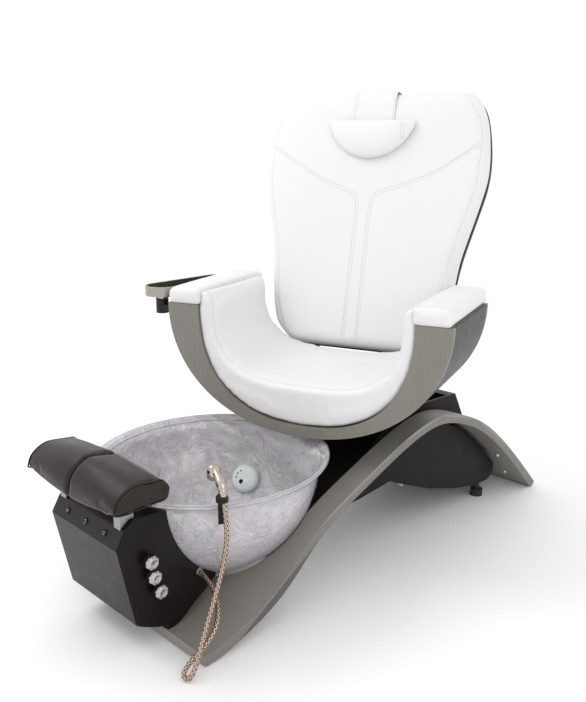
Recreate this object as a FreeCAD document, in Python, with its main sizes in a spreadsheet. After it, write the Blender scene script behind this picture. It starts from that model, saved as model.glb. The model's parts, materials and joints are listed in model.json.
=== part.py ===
"""Pedicure spa chair: bent board base, glass foot bowl, tap console, footrest and swivelling seat.

The frame has +Z up and the chair faces -Y. The origin is the middle of the underside of the
front floor strip. The seat is drawn in its own frame, whose +Y points to its back, and is then
turned on its swivel.
"""
import FreeCAD
import Part
import Sketcher
import math
import os

V = FreeCAD.Vector
X_AXIS = V(1, 0, 0)
Y_AXIS = V(0, 1, 0)
Z_AXIS = V(0, 0, 1)

# name, value (millimetres or degrees), what it is
SIZES = [
    ("board_width", 590, "width of the bent board"),
    ("board_thick", 27.5, "thickness of the bent board"),
    ("slot_half", 225, "half width of the opening in the board"),
    ("bowl_radius", 300, "outer radius of the glass body"),
    ("bowl_depth", 320, "depth of the glass body under its rim"),
    ("bowl_wall", 8, "glass thickness"),
    ("rim_radius", 326, "outer radius of the rim"),
    ("rim_height", 386, "height of the rim plane at the bowl's middle"),
    ("rim_tilt", 1.5, "rise of the rim towards the seat, degrees"),
    ("bowl_gap", 1.6, "gap between glass and board or console"),
    ("drain_radius", 22, "drain hole"),
    ("console_half", 150, "half width of the console"),
    ("console_wall", 4, "wall of the console"),
    ("post_radius", 14, "footrest post"),
    ("bar_radius", 12, "footrest cross bar"),
    ("bar_half", 138, "half length of the cross bar"),
    ("foot_pad_half", 207, "half length of the footrest"),
    ("running", 0.05, "radial clearance of a running fit"),
    ("knob_radius", 19.5, "tap knob"),
    ("spindle_radius", 5, "tap spindle"),
    ("button_radius", 8, "push button"),
    ("hose_radius", 6, "braided hose"),
    ("housing_half", 222, "half width of the rear housing"),
    ("housing_wall", 4, "wall of the rear housing"),
    ("well_floor", 352, "floor under the seat carriage"),
    ("swivel_y", 770, "swivel axis along the board"),
    ("swivel_turn", 20, "turn of the seat at rest, degrees"),
    ("swivel_pin", 15, "radius of the swivel pin"),
    ("shell_half", 430, "half width of the seat shell"),
    ("shell_drop", 356, "depth of the seat shell under its top"),
    ("seat_top", 763, "top of the seat shell"),
    ("shell_skin", 5, "outer skin of the seat shell"),
    ("pan_half", 328, "half width of the inner pan"),
    ("pan_drop", 325, "depth of the inner pan"),
    ("pan_skin", 6, "skin of the inner pan"),
    ("panel_thick", 18, "front and rear panels of the seat"),
    ("seat_front", -321, "front face of the seat"),
    ("seat_rear", 70, "rear face of the seat"),
    ("arm_pad_inner", 322, "inner edge of an arm pad"),
    ("arm_pad_outer", 426, "outer edge of an arm pad"),
    ("arm_pad_height", 47.7, "thickness of an arm pad"),
    ("back_lean", 15.25, "lean of the backrest, degrees"),
    ("back_foot", 596, "height where the backrest frame starts"),
    ("back_pad", 85, "thickness of the back cushion"),
    ("back_shell", 15, "thickness of the back shell"),
    ("pivot_y", 100, "recline axis behind the swivel axis"),
    ("pivot_z", 530, "height of the recline axis"),
    ("shaft_radius", 10, "recline shaft"),
    ("tray_radius", 52, "large end of the tray"),
    ("tray_tail_radius", 18, "small end of the tray"),
    ("tray_wall", 5, "rim of the tray"),
    ("tray_pin", 8, "tray pivot pin"),
]

doc = FreeCAD.newDocument("PedicureChair")
sheet = doc.addObject("Spreadsheet::Sheet", "Sizes")
for row, (name, value, note) in enumerate(SIZES, 1):
    sheet.set("A%d" % row, name)
    sheet.set("B%d" % row, str(value))
    sheet.set("C%d" % row, note)
    sheet.setAlias("B%d" % row, name)
doc.recompute()

PARTS = []


def dim(name):
    """A size from the sheet."""
    return float(sheet.get(name))


def put(obj, prop, value):
    """Set a size. Text is an expression on the sheet, such as "Sizes.board_width / 2"."""
    if isinstance(value, str):
        obj.setExpression(prop, value)
    else:
        setattr(obj, prop, value)


def keep(obj, frame=FreeCAD.Placement()):
    """List a finished sub-part and set it in its frame."""
    obj.Placement = frame.multiply(obj.Placement)
    PARTS.append(obj)
    return obj


# ------------------------------------------------------------------ document objects
def box(label, corner, length, width, height):
    obj = doc.addObject("Part::Box", label)
    put(obj, "Length", length)
    put(obj, "Width", width)
    put(obj, "Height", height)
    obj.Placement = FreeCAD.Placement(V(*corner), FreeCAD.Rotation())
    return obj


def cylinder(label, base, direction, radius, height):
    obj = doc.addObject("Part::Cylinder", label)
    put(obj, "Radius", radius)
    put(obj, "Height", height)
    obj.Placement = FreeCAD.Placement(V(*base), FreeCAD.Rotation(Z_AXIS, V(*direction)))
    return obj


def ball(label, centre, radius):
    obj = doc.addObject("Part::Sphere", label)
    put(obj, "Radius", radius)
    obj.Placement = FreeCAD.Placement(V(*centre), FreeCAD.Rotation())
    return obj


def cone(label, base, direction, radius_1, radius_2, height):
    obj = doc.addObject("Part::Cone", label)
    put(obj, "Radius1", radius_1)
    put(obj, "Radius2", radius_2)
    put(obj, "Height", height)
    obj.Placement = FreeCAD.Placement(V(*base), FreeCAD.Rotation(Z_AXIS, V(*direction)))
    return obj


def fuse(label, *shapes):
    obj = doc.addObject("Part::MultiFuse", label)
    obj.Shapes = list(shapes)
    return obj


def cut(label, base, *tools):
    obj = doc.addObject("Part::Cut", label)
    obj.Base = base
    obj.Tool = tools[0] if len(tools) == 1 else fuse(label + "_tools", *tools)
    return obj


def common(label, *shapes):
    obj = doc.addObject("Part::MultiCommon", label)
    obj.Shapes = list(shapes)
    return obj


def solid(label, shape):
    obj = doc.addObject("Part::Feature", label)
    obj.Shape = shape
    return obj


def extrusion(label, face, direction, length, symmetric=False):
    """A face drawn with curves, extruded by a bound length."""
    obj = doc.addObject("Part::Extrusion", label)
    obj.Base = solid(label + "_face", face)
    obj.DirMode = "Custom"
    obj.Dir = direction
    obj.Solid = True
    obj.Symmetric = symmetric
    put(obj, "LengthFwd", length)
    return obj


def revolution(label, face):
    """A half section in the XZ plane, turned about Z."""
    obj = doc.addObject("Part::Revolution", label)
    obj.Source = solid(label + "_section", face)
    obj.Axis = Z_AXIS
    obj.Base = V(0, 0, 0)
    obj.Angle = 360
    obj.Solid = True
    return obj


def rounded(label, base, edges, radius):
    obj = doc.addObject("Part::Fillet", label)
    obj.Base = base
    obj.Edges = [(edge, radius, radius) for edge in edges]
    return obj


def sketched(label, plane, outline):
    """A PartDesign body with a closed, fully placed outline of straight lines on one plane."""
    body = doc.addObject("PartDesign::Body", label)
    sketch = body.newObject("Sketcher::SketchObject", label + "_sketch")
    base = [f for f in body.Origin.OriginFeatures if f.Role == plane][0]
    sketch.AttachmentSupport = [(base, "")]
    sketch.MapMode = "FlatFace"
    count = len(outline)
    for i, (x, y) in enumerate(outline):
        after = outline[(i + 1) % count]
        sketch.addGeometry(Part.LineSegment(V(x, y, 0), V(after[0], after[1], 0)), False)
    for i, (x, y) in enumerate(outline):
        sketch.addConstraint(Sketcher.Constraint("Coincident", i, 2, (i + 1) % count, 1))
        sketch.addConstraint(Sketcher.Constraint("DistanceX", -1, 1, i, 1, x))
        sketch.addConstraint(Sketcher.Constraint("DistanceY", -1, 1, i, 1, y))
    return body, sketch


def prism(label, plane, outline, length):
    """An outline padded evenly to both sides of its plane."""
    body, sketch = sketched(label, plane, outline)
    pad = body.newObject("PartDesign::Pad", label + "_pad")
    pad.Profile = sketch
    pad.Midplane = True
    put(pad, "Length", length)
    return body


def turned(label, outline):
    """A half section (radius, height) turned about Z."""
    body, sketch = sketched(label, "XZ_Plane", outline)
    spin = body.newObject("PartDesign::Revolution", label + "_turn")
    spin.Profile = sketch
    spin.ReferenceAxis = (sketch, ["V_Axis"])
    spin.Angle = 360
    return body


# ------------------------------------------------------------------ curves and faces
def spline(points):
    curve = Part.BSplineCurve()
    curve.interpolate([V(*p) for p in points])
    return curve


def line(start, end):
    return Part.LineSegment(V(*start), V(*end)).toShape()


def face_of(edges):
    return Part.Face(Part.Wire(Part.__sortEdges__(edges)))


def polygon(points):
    return Part.makePolygon([V(*p) for p in points] + [V(*points[0])])


def inset(outline, distance):
    """The corners of a plane outline moved inwards."""
    wire = polygon([(x, y, 0) for x, y in outline])
    smaller = wire.makeOffset2D(-distance, 2)
    if smaller.BoundBox.XLength > wire.BoundBox.XLength:
        smaller = wire.makeOffset2D(distance, 2)
    return [(p.Point.x, p.Point.y) for p in smaller.OrderedVertexes]


def mirrored(half):
    """A closed outline from its +X half, listed from front to back."""
    return half + [(-x, y) for x, y in reversed(half)]


def slanted(base, direction):
    """A frame whose +Z runs along direction."""
    return FreeCAD.Placement(V(*base), FreeCAD.Rotation(Z_AXIS, V(*direction)))


def along(base, direction, distance):
    """The point at a distance from base along direction."""
    return tuple(b + d * distance for b, d in zip(base, direction))


# ------------------------------------------------------------------ base board
# underside of the board from its front edge to its rear edge, as (Y, Z)
UNDERSIDE = [(-30, 2), (20, 7.5), (70, 20), (170, 56), (260, 110), (340, 178), (420, 229), (530, 277),
             (650, 325), (770, 366), (896, 385), (1000, 364), (1110, 317), (1230, 234),
             (1360, 120), (1488, -4)]
REAR_STRIP = 3
STRIP_HALF = 285

underside = spline([(0, y, z) for y, z in UNDERSIDE])


def board_top():
    """The underside moved outwards by the board's thickness."""
    first, last = underside.FirstParameter, underside.LastParameter
    steps = 40
    points = []
    for step in range(steps + 1):
        at = first + (last - first) * step / steps
        tangent = underside.tangent(at)[0]
        normal = V(0, -tangent.z, tangent.y)
        points.append(underside.value(at) + normal * dim("board_thick"))
    return spline(points)


def height_at(curve, y):
    """Height of a side curve of the board at a place along it."""
    plane = Part.Plane(V(0, y, 0), Y_AXIS)
    hit = curve.intersect(plane)[0][0]
    return hit.Z


top_curve = board_top()


def board_face():
    low = [underside.StartPoint, underside.EndPoint]
    high = [top_curve.StartPoint, top_curve.EndPoint]
    return face_of([underside.toShape(), line(low[1], high[1]), top_curve.toShape(),
                    line(high[0], low[0])])


def under_top_face():
    """Everything under the board's upper side, for cutting what stands on it."""
    start, end = top_curve.StartPoint, top_curve.EndPoint
    depth = -60
    return face_of([top_curve.toShape(), line(end, (0, end.y, depth)),
                    line((0, end.y, depth), (0, start.y, depth)), line((0, start.y, depth), start)])


BOWL_MIDDLE = (0, 236, dim("rim_height"))
BOWL = FreeCAD.Placement(V(*BOWL_MIDDLE), FreeCAD.Rotation(X_AXIS, dim("rim_tilt")))
FLARE_START = -22
RIM_UNDER = -5


def ellipse_arc(radius, depth, from_r, to_z):
    """Part of the bowl's quarter section, from a radius near the bottom up to a height."""
    curve = Part.Ellipse(V(0, 0, -depth), V(radius, 0, 0), V(0, 0, 0))
    start = math.asin(from_r / radius)
    end = math.acos(-to_z / depth)
    return Part.ArcOfEllipse(curve, start, end)


def bowl_void(label, gap):
    """The room the bowl takes, larger than the glass by a gap."""
    arc = ellipse_arc(dim("bowl_radius") + gap, dim("bowl_depth") + gap, 0, FLARE_START)
    low, high = arc.StartPoint, arc.EndPoint
    lip = dim("rim_radius") + gap
    roof = 60
    edges = [arc.toShape(), line(high, (lip, 0, RIM_UNDER - gap)),
             line((lip, 0, RIM_UNDER - gap), (lip, 0, roof)), line((lip, 0, roof), (0, 0, roof)),
             line((0, 0, roof), low)]
    obj = revolution(label, face_of(edges))
    obj.Placement = BOWL
    return obj


def ribbon_base():
    board = extrusion("board_blank", board_face(), X_AXIS, "Sizes.board_width", True)
    half = dim("slot_half")
    front, rear, corner = 370, 1050, 12
    round_end = cylinder("slot_front", (0, front, -20), (0, 0, 1), "Sizes.slot_half", 600)
    slot = box("slot_run", (-half, front, -20), "2 * Sizes.slot_half", rear - front, 600)
    slot = rounded("slot_rounded", slot, (3, 7), corner)
    room = bowl_void("bowl_room", dim("bowl_gap"))
    rear_end = box("rear_trim", (-400, 1400, -100), 800, 300, 100 + REAR_STRIP)
    return keep(cut("ribbon_base", board, round_end, slot, room, rear_end))


def foot_strips():
    """The front wedge under the board and the flat rear strip."""
    wedge = box("front_wedge", (-STRIP_HALF, -18, 0), 2 * STRIP_HALF, 36, 14)
    roof = extrusion("over_underside", over_face(), X_AXIS, "Sizes.board_width + 20", True)
    front = cut("front_strip", wedge, roof)
    rear = box("rear_strip", (-STRIP_HALF, 1484, 0), 2 * STRIP_HALF, 34, REAR_STRIP)
    return keep(fuse("foot_strips", front, rear))


def over_face():
    """Everything over the board's underside."""
    start, end = underside.StartPoint, underside.EndPoint
    roof = 460
    return face_of([underside.toShape(), line(end, (0, end.y, roof)),
                    line((0, end.y, roof), (0, start.y, roof)), line((0, start.y, roof), start)])


def leg_screws(board):
    """Domed screw heads on the underside of the rear leg."""
    heads = []
    for i, (x, y) in enumerate([(245, 1320), (215, 1430), (-245, 1320), (-215, 1430)]):
        z = height_at(underside, y)
        shank = cylinder("leg_shank_%d" % i, (x, y + 6.6, z + 7.5), (0, -0.66, -0.75), 8, 12)
        dome = ball("leg_dome_%d" % i, (x, y + 0.4, z + 0.5), 8.5)
        heads.append(fuse("leg_screw_%d" % i, shank, dome))
    return keep(cut("leg_screws", fuse("leg_screw_set", *heads), board))


# ------------------------------------------------------------------ bowl and drain
def bowl():
    wall = dim("bowl_wall")
    outer = ellipse_arc(dim("bowl_radius"), dim("bowl_depth"), dim("drain_radius"), FLARE_START)
    inner = ellipse_arc(dim("bowl_radius") - wall, dim("bowl_depth") - wall, dim("drain_radius"),
                        FLARE_START)
    lip = dim("rim_radius")
    rim = [outer.EndPoint, V(lip - 2, 0, RIM_UNDER), V(lip, 0, -1), V(lip - 1, 0, 3),
           V(lip - 6, 0, 4), V(lip - 24, 0, -10), inner.EndPoint]
    edges = [line(a, b) for a, b in zip(rim, rim[1:])]
    edges += [outer.toShape(), inner.toShape(), line(inner.StartPoint, outer.StartPoint)]
    glass = revolution("glass", face_of(edges))
    glass.Placement = BOWL
    return keep(cut("bowl", glass, cylinder("jet_hole", JET_OUT, JET_IN, 31, 60)))


def bowl_gasket():
    """A soft band in the gap between the glass and the board."""
    room = bowl_void("gasket_outside", dim("bowl_gap"))
    glass = bowl_void("gasket_inside", 0)
    ring = cut("gasket_ring", room, glass)
    band = extrusion("gasket_board", board_face(), X_AXIS, "Sizes.board_width - 4", True)
    half = dim("slot_half")
    slot = box("gasket_slot", (-half, 370, 0), "2 * Sizes.slot_half", 700, 500)
    front = cylinder("gasket_slot_front", (0, 370, 0), (0, 0, 1), "Sizes.slot_half", 500)
    return keep(cut("bowl_gasket", common("gasket_band", ring, band), slot, front))


DRAIN_TOP = 73.5
DRAIN_AXIS = 38
# the tilt of the bowl carries its lowest point backwards
DRAIN_Y = BOWL_MIDDLE[1] + dim("bowl_depth") * math.sin(math.radians(dim("rim_tilt")))


def drain_fitting():
    """Strainer in the bottom of the bowl, on a tube down to the drain cup."""
    strainer = turned("strainer", [(4, 0), (30, 0), (30, 2), (22, 5), (4, 5)])
    strainer.Placement.Base = V(0, DRAIN_Y, DRAIN_TOP + 3)
    neck = turned("drain_neck", [(15, 0), (21.5, 0), (21.5, 28), (15, 28)])
    neck.Placement.Base = V(0, DRAIN_Y, DRAIN_TOP - 22)
    cup = turned("drain_cup", [(0, 0), (24, 0), (24, 38), (20, 38), (20, 4), (0, 4)])
    cup.Placement.Base = V(0, DRAIN_Y, 14)
    whole = fuse("drain_stack", strainer, neck, cup)
    side = cylinder("drain_side", (0, DRAIN_Y, DRAIN_AXIS), (0, 1, 0), 10, 30)
    glass = bowl_void("drain_glass", 0)
    inside = bowl_void("drain_inside", -dim("bowl_wall"))
    hole = cylinder("drain_bore", (0, 0, -360), (0, 0, 1), "Sizes.drain_radius", 80)
    hole.Placement = BOWL.multiply(hole.Placement)
    bottom = cut("glass_bottom", glass, inside, hole)
    return keep(cut("drain_fitting", whole, side, bottom))


# the outlet leaves the pump sideways, where nothing stands in the way of a drain hose
OUTLET_Y = 316
OUTLET_START = -30


def drain_pump():
    boss = cylinder("pump_boss", (0, OUTLET_Y, DRAIN_AXIS), (-1, 0, 0), 19, -OUTLET_START)
    motor = cylinder("pump_motor", (0, 272, DRAIN_AXIS), (0, 1, 0), 23, 88)
    flange = cylinder("pump_flange", (0, 260, DRAIN_AXIS), (0, 1, 0), 18, 12)
    end = cylinder("pump_end", (0, 360, DRAIN_AXIS), (0, 1, 0), 19, 20)
    bore = cylinder("pump_bore", (0, 250, DRAIN_AXIS), (0, 1, 0), 10, 22)
    cup = cylinder("pump_cup", (0, DRAIN_Y, 10), (0, 0, 1), 24, 50)
    return keep(cut("drain_pump", fuse("pump_body", motor, flange, end, boss), bore, cup))


def drain_outlet():
    start = (OUTLET_START, OUTLET_Y, DRAIN_AXIS)
    pipe = cylinder("outlet_pipe", start, (-1, 0, 0), 16, 50)
    collar = cylinder("outlet_collar", start, (-1, 0, 0), 18.5, 8)
    bore = cylinder("outlet_bore", (OUTLET_START - 4, OUTLET_Y, DRAIN_AXIS), (-1, 0, 0), 12.5, 50)
    return keep(cut("drain_outlet", fuse("outlet_body", pipe, collar), bore))


# ------------------------------------------------------------------ whirl jet
JET_POINT = (-107, 454, 217)
JET_IN = (0.374, -0.762, 0.529)
JET_OUT = along(JET_POINT, JET_IN, -45)


def jet_body():
    base = FreeCAD.Placement(V(*JET_POINT), FreeCAD.Rotation(Z_AXIS, V(*JET_IN)))
    tube = turned("jet_body", [(25, -38), (30.8, -38), (30.8, 5), (43, 5), (43, 9), (25, 9)])
    return keep(tube, base)


def jet_cap():
    frame = slanted(JET_POINT, JET_IN)
    cap = turned("jet_cap_blank", [(0, 20), (0, 24), (20, 24), (36, 21), (42, 15), (42, 9),
                                   (38, 9), (38, 14), (33, 17), (20, 20)])
    tools = [cylinder("jet_outlet", (0, -14, 0), (0, 0, 1), 7, 40)]
    for i, turn in enumerate((150, 180, 210)):
        x = 24 * math.cos(math.radians(turn))
        y = 24 * math.sin(math.radians(turn))
        tools.append(cylinder("jet_vent_%d" % i, (x, y, 0), (0, 0, 1), 3, 40))
    return keep(cut("jet_cap", cap, *tools), frame)


def jet_motor():
    frame = slanted(JET_POINT, JET_IN)
    can = turned("jet_motor", [(4.05, -85), (30, -85), (30, -38), (4.05, -38)])
    return keep(can, frame)


def jet_impeller():
    frame = slanted(JET_POINT, JET_IN)
    hub = cylinder("impeller_hub", (0, 0, -30), (0, 0, 1), 9, 30)
    shaft = cylinder("impeller_shaft", (0, 0, -70), (0, 0, 1), 4, 45)
    blades = [box("impeller_blade_%d" % i, (-22, -1.2, -26), 44, 2.4, 20) for i in range(3)]
    for i, blade in enumerate(blades):
        turn = FreeCAD.Placement(V(0, 0, 0), FreeCAD.Rotation(Z_AXIS, 60 * i))
        blade.Placement = turn.multiply(blade.Placement)
    return keep(fuse("jet_impeller", hub, shaft, *blades), frame)


# ------------------------------------------------------------------ console
CONSOLE_SIDE = [(-106, 77), (-124, 89), (-167, 300), (-141, 344), (-119, 361), (-60, 361),
                (131, 361), (131, 140), (100, 109), (53, 82), (8, 48), (-26, 49), (-62, 57)]
PEDESTAL = [(142, -26), (142, -4), (137, 17), (113, 81), (101, 138), (87, 181)]
PEDESTAL_MID = 90
SLOPE_LOW = (0, -167, 300)
SLOPE_UP = tuple(V(0, 26, 44).normalize())
SLOPE_OUT = (0, -SLOPE_UP[2], SLOPE_UP[1])
BUTTON_SPOT = along(SLOPE_LOW, SLOPE_UP, 24)
BUTTONS = {"jet": -85, "light": 0, "drain": 85}
KNOBS = {"hot": (-87, 252), "cold": (-80, 210), "diverter": (-64, 166)}
POST_Y = -112
HOSE_EXIT = (150, 66, 160)


def console_block(label, step):
    """The console's outer form, or its hollow when step is the wall."""
    side = inset(CONSOLE_SIDE, step) if step else CONSOLE_SIDE
    plan = mirrored(PEDESTAL)
    if step:
        plan = inset(plan, step)
    head = prism(label + "_head", "YZ_Plane", side, "2 * (Sizes.console_half - %g)" % step)
    foot = prism(label + "_foot", "XY_Plane", plan, 160 - step)
    foot.Placement.Base = V(0, 0, PEDESTAL_MID)
    room = bowl_void(label + "_bowl", dim("bowl_gap") + step)
    tools = [room]
    if not step:
        tools.append(extrusion(label + "_floor", under_top_face(), X_AXIS, 700, True))
    return cut(label, fuse(label + "_mass", head, foot), *tools)


def console_shell():
    holes = [cylinder("post_hole", (0, POST_Y, 330), (0, 0, 1), dim("post_radius") + 0.5, 60)]
    for name, (y, z) in KNOBS.items():
        holes.append(cylinder("knob_hole_" + name, (120, y, z), (1, 0, 0), 7, 60))
    for name, x in BUTTONS.items():
        start = along((x,) + BUTTON_SPOT[1:], SLOPE_OUT, -12)
        holes.append(cylinder("button_hole_" + name, start, SLOPE_OUT, dim("button_radius") + 0.1, 30))
    holes.append(cylinder("hose_hole", (130, 66, 160), (1, 0, 0), 5, 40))
    hollow = console_block("console_hollow", dim("console_wall"))
    walls = cut("console_walls", console_block("console_mass", 0), hollow)
    return keep(cut("console_shell", walls, *holes))


def control_panel():
    """The flat strip that carries the three buttons."""
    low = along(SLOPE_LOW, SLOPE_UP, 2)
    high = along(SLOPE_LOW, SLOPE_UP, 49)
    skin = 1.5
    outline = [low, high, along(high, SLOPE_OUT, skin), along(low, SLOPE_OUT, skin)]
    strip = prism("panel_strip", "YZ_Plane", [(p[1], p[2]) for p in outline], 298)
    holes = []
    for name, x in BUTTONS.items():
        start = along((x,) + BUTTON_SPOT[1:], SLOPE_OUT, -12)
        holes.append(cylinder("panel_hole_" + name, start, SLOPE_OUT, dim("button_radius") + 0.1, 30))
    return keep(cut("control_panel", strip, *holes))


def button(name, x):
    """A push button with a retaining flange behind the console wall."""
    frame = slanted((x,) + BUTTON_SPOT[1:], SLOPE_OUT)
    radius = dim("button_radius")
    return keep(turned("button_" + name, [(0, -7.6), (10.5, -7.6), (10.5, -4.2), (radius, -4.2),
                                          (radius, 3.6), (radius - 1, 4.4), (0, 4.4)]), frame)


def control_board():
    """The circuit board behind the buttons, on two standoffs."""
    plate = box("board_plate", (-120, -14, -16.5), 240, 28, 1.5)
    posts = [cylinder("board_post_%d" % x, (x, 0, -15), (0, 0, 1), 3, 11) for x in (-112, 112)]
    middle = along(SLOPE_LOW, SLOPE_UP, 24)
    turn = FreeCAD.Rotation(X_AXIS, V(*SLOPE_UP), V(*SLOPE_OUT))
    return keep(fuse("control_board", plate, *posts), FreeCAD.Placement(V(*middle), turn))


def mixing_valve():
    """Valve block on the inside of the console's side wall, bored for the three spindles."""
    inner = dim("console_half") - dim("console_wall")
    block = box("valve_block", (100, -112, 148), inner - 100, 66, 122)
    fit = "Sizes.spindle_radius + Sizes.running"
    bores = [cylinder("valve_bore_" + name, (106, y, z), (1, 0, 0), fit, 60)
             for name, (y, z) in KNOBS.items()]
    rooms = [cylinder("valve_room_" + name, (136, y, z), (1, 0, 0), 7, 20)
             for name, (y, z) in KNOBS.items()]
    return keep(cut("mixing_valve", block, bowl_void("valve_bowl", 7), *bores, *rooms))


def knob(name, y, z):
    """A faceted tap knob on its spindle."""
    grip = turned("knob_grip_" + name, [(0, 0), (12, 0), (13, 3), (19.5, 8), (19.5, 19), (15, 26), (0, 28)])
    flats = []
    for i in range(6):
        block = box("knob_flat_%s_%d" % (name, i), (17.6, -12, 4), 6, 24, 26)
        turn = FreeCAD.Placement(V(0, 0, 0), FreeCAD.Rotation(Z_AXIS, 60 * i))
        block.Placement = turn.multiply(block.Placement)
        flats.append(block)
    spindle = cylinder("spindle_" + name, (0, 0, -46), (0, 0, 1), "Sizes.spindle_radius", 48)
    grip = cut("knob_cut_" + name, grip, *flats)
    return keep(fuse("knob_" + name, grip, spindle), slanted((158, y, z), (1, 0, 0)))


def hose_outlet():
    """The nut on the console's side that the hose leaves."""
    nut = turned("hose_outlet", [(0, -8), (4.9, -8), (4.9, 0), (11, 0), (11, 6), (8.5, 12), (0, 12)])
    return keep(nut, slanted(HOSE_EXIT, (1, 0, 0)))


# ------------------------------------------------------------------ hose and spray
# from the spray handle down to the fold and back up to the console
HOSE_ROUTE = [(287, 43, 418), (292, 42, 388), (297, 42, 352), (301, 40, 308), (303, 23, 246),
              (303, -4, 177), (305, -32, 116), (311, -57, 66), (316, -76, 32), (316, -89, 14.2),
              (307.8, -94.5, 8), (296.2, -94.5, 8), (288, -89, 14.2), (289, -74, 30),
              (298, -52, 50), (303, -26, 72), (298, 4, 96), (274, 31, 118), (239, 51, 136),
              (202, 62, 151), (162, 66, 160)]


def rounded_path(points):
    """Straight runs joined by tangent arcs, and each arc's radius."""
    share = 0.45
    at = [V(*p) for p in points]
    edges = []
    radii = []
    start = at[0]
    for before, corner, after in zip(at, at[1:], at[2:]):
        arriving = (corner - before).normalize()
        leaving = (after - corner).normalize()
        trim = share * min(corner.distanceToPoint(before), after.distanceToPoint(corner))
        half_turn = arriving.getAngle(leaving) / 2
        radius = trim / math.tan(half_turn)
        arc_start = corner - arriving * trim
        arc_end = corner + leaving * trim
        bisector = (leaving - arriving).normalize()
        middle = corner + bisector * (radius / math.cos(half_turn) - radius)
        edges.append(Part.LineSegment(start, arc_start).toShape())
        edges.append(Part.Arc(arc_start, middle, arc_end).toShape())
        radii.append(radius)
        start = arc_end
    edges.append(Part.LineSegment(start, at[-1]).toShape())
    return Part.Wire(edges), radii


def hose():
    path, radii = rounded_path(HOSE_ROUTE)
    start = V(*HOSE_ROUTE[0])
    away = V(*HOSE_ROUTE[1]) - start
    radius = dim("hose_radius")
    ring = Part.Wire(Part.makeCircle(radius, start, away))
    tube = path.makePipeShell([ring], True, False)
    expected = math.pi * radius ** 2 * path.Length
    print("hose length %.0f, volume ratio %.4f" % (path.Length, tube.Volume / expected))
    print("hose arc radii", [round(r) for r in radii])
    return keep(solid("hose", tube))


SPRAY_FOOT = (287, 43, 418)
SPRAY_UP = (-0.166, 0.033, 0.986)
SPRAY_NECK = (268, 50, 446)
SPRAY_HEAD = (232, 60, 459)


def spray_handle():
    """Handset: collar, curved grip and round head with its nozzle face."""
    collar = cylinder("spray_collar", SPRAY_FOOT, SPRAY_UP, 10, 9)
    start = along(SPRAY_FOOT, SPRAY_UP, 9)
    grip_way = V(*SPRAY_NECK) - V(*start)
    grip = cone("spray_grip", start, tuple(grip_way), 10, 12.5, grip_way.Length)
    knuckle = ball("spray_knuckle", SPRAY_NECK, 12.5)
    head_way = V(*SPRAY_HEAD) - V(*SPRAY_NECK)
    neck = cone("spray_neck", SPRAY_NECK, tuple(head_way), 12.5, 16, head_way.Length)
    head = ball("spray_head", SPRAY_HEAD, 18)
    face_way = (-0.42, 0.1, -0.9)
    nozzle = cylinder("spray_nozzle", along(SPRAY_HEAD, face_way, 6), face_way, 14, 15)
    return keep(fuse("spray_handle", collar, grip, knuckle, neck, head, nozzle))


def spray_holder():
    """Clip on the outside of the bowl's rim that carries the handset by its collar."""
    plate = box("holder_plate", (-9, -7, 344), 18, 12, 74)
    ring = cylinder("holder_ring", (0, -15, 406), (0, 0, 1), 15, 12)
    whole = fuse("holder_mass", plate, ring)
    outward = FreeCAD.Rotation(Z_AXIS, 55.7)
    whole.Placement = FreeCAD.Placement(V(275, 47, 0), outward)
    seat = cylinder("holder_seat", along(SPRAY_FOOT, SPRAY_UP, -20), SPRAY_UP, 10.05, 60)
    return keep(cut("spray_holder", whole, bowl_void("holder_bowl", 0), seat))


# ------------------------------------------------------------------ footrest
BAR = (0, -126, 378)
KNUCKLE_RADIUS = 17
BOARD_TOP = 401


def footrest_sleeve():
    """Guide tube of the post, hung from the console's top."""
    tube = cylinder("sleeve_tube", (0, POST_Y, 200), (0, 0, 1), 20, 157)
    flange = box("sleeve_flange", (-34, -118, 350), 68, 24, 7)
    bore = cylinder("sleeve_bore", (0, POST_Y, 190), (0, 0, 1), "Sizes.post_radius + Sizes.running", 180)
    inner = console_block("sleeve_limit", dim("console_wall"))
    return keep(cut("footrest_sleeve", common("sleeve_mass", fuse("sleeve_set", tube, flange), inner), bore))


def footrest_post():
    """Lifting post with its cross bar and the two grey cheeks."""
    post = cylinder("post_tube", (0, POST_Y, 205), (0, 0, 1), "Sizes.post_radius", BAR[2] - 205)
    half = dim("bar_half")
    bar = cylinder("post_bar", (-half, BAR[1], BAR[2]), (1, 0, 0), "Sizes.bar_radius", "2 * Sizes.bar_half")
    pieces = [post, bar]
    outline = [(-146, 342), (-141, 347.5), (-121, 363), (-108, 364), (-108, 378), (-146, 378)]
    for side in (-1, 1):
        cheek = prism("cheek_%d" % (side + 1), "YZ_Plane", outline, 26)
        cheek.Placement.Base = V(side * 125, 0, 0)
        top = cylinder("cheek_top_%d" % (side + 1), (side * 125 - 13, BAR[1], BAR[2]), (1, 0, 0), 15, 26)
        pieces += [cheek, top]
    return keep(fuse("footrest_post", *pieces))


def footrest_knuckles():
    """Two bearing blocks that turn on the cross bar and carry the board."""
    pieces = []
    for side in (-1, 1):
        left = side * 87.5 - 17.5
        ring = cylinder("knuckle_ring_%d" % (side + 1), (left, BAR[1], BAR[2]), (1, 0, 0),
                        KNUCKLE_RADIUS, 35)
        block = box("knuckle_block_%d" % (side + 1), (left, BAR[1] - 14, BAR[2]), 35, 28, KNUCKLE_RADIUS)
        pieces.append(fuse("knuckle_%d" % (side + 1), ring, block))
    bore = cylinder("knuckle_bore", (-150, BAR[1], BAR[2]), (1, 0, 0),
                    "Sizes.bar_radius + Sizes.running", 300)
    return keep(cut("footrest_knuckles", fuse("knuckle_pair", *pieces), bore))


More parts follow.
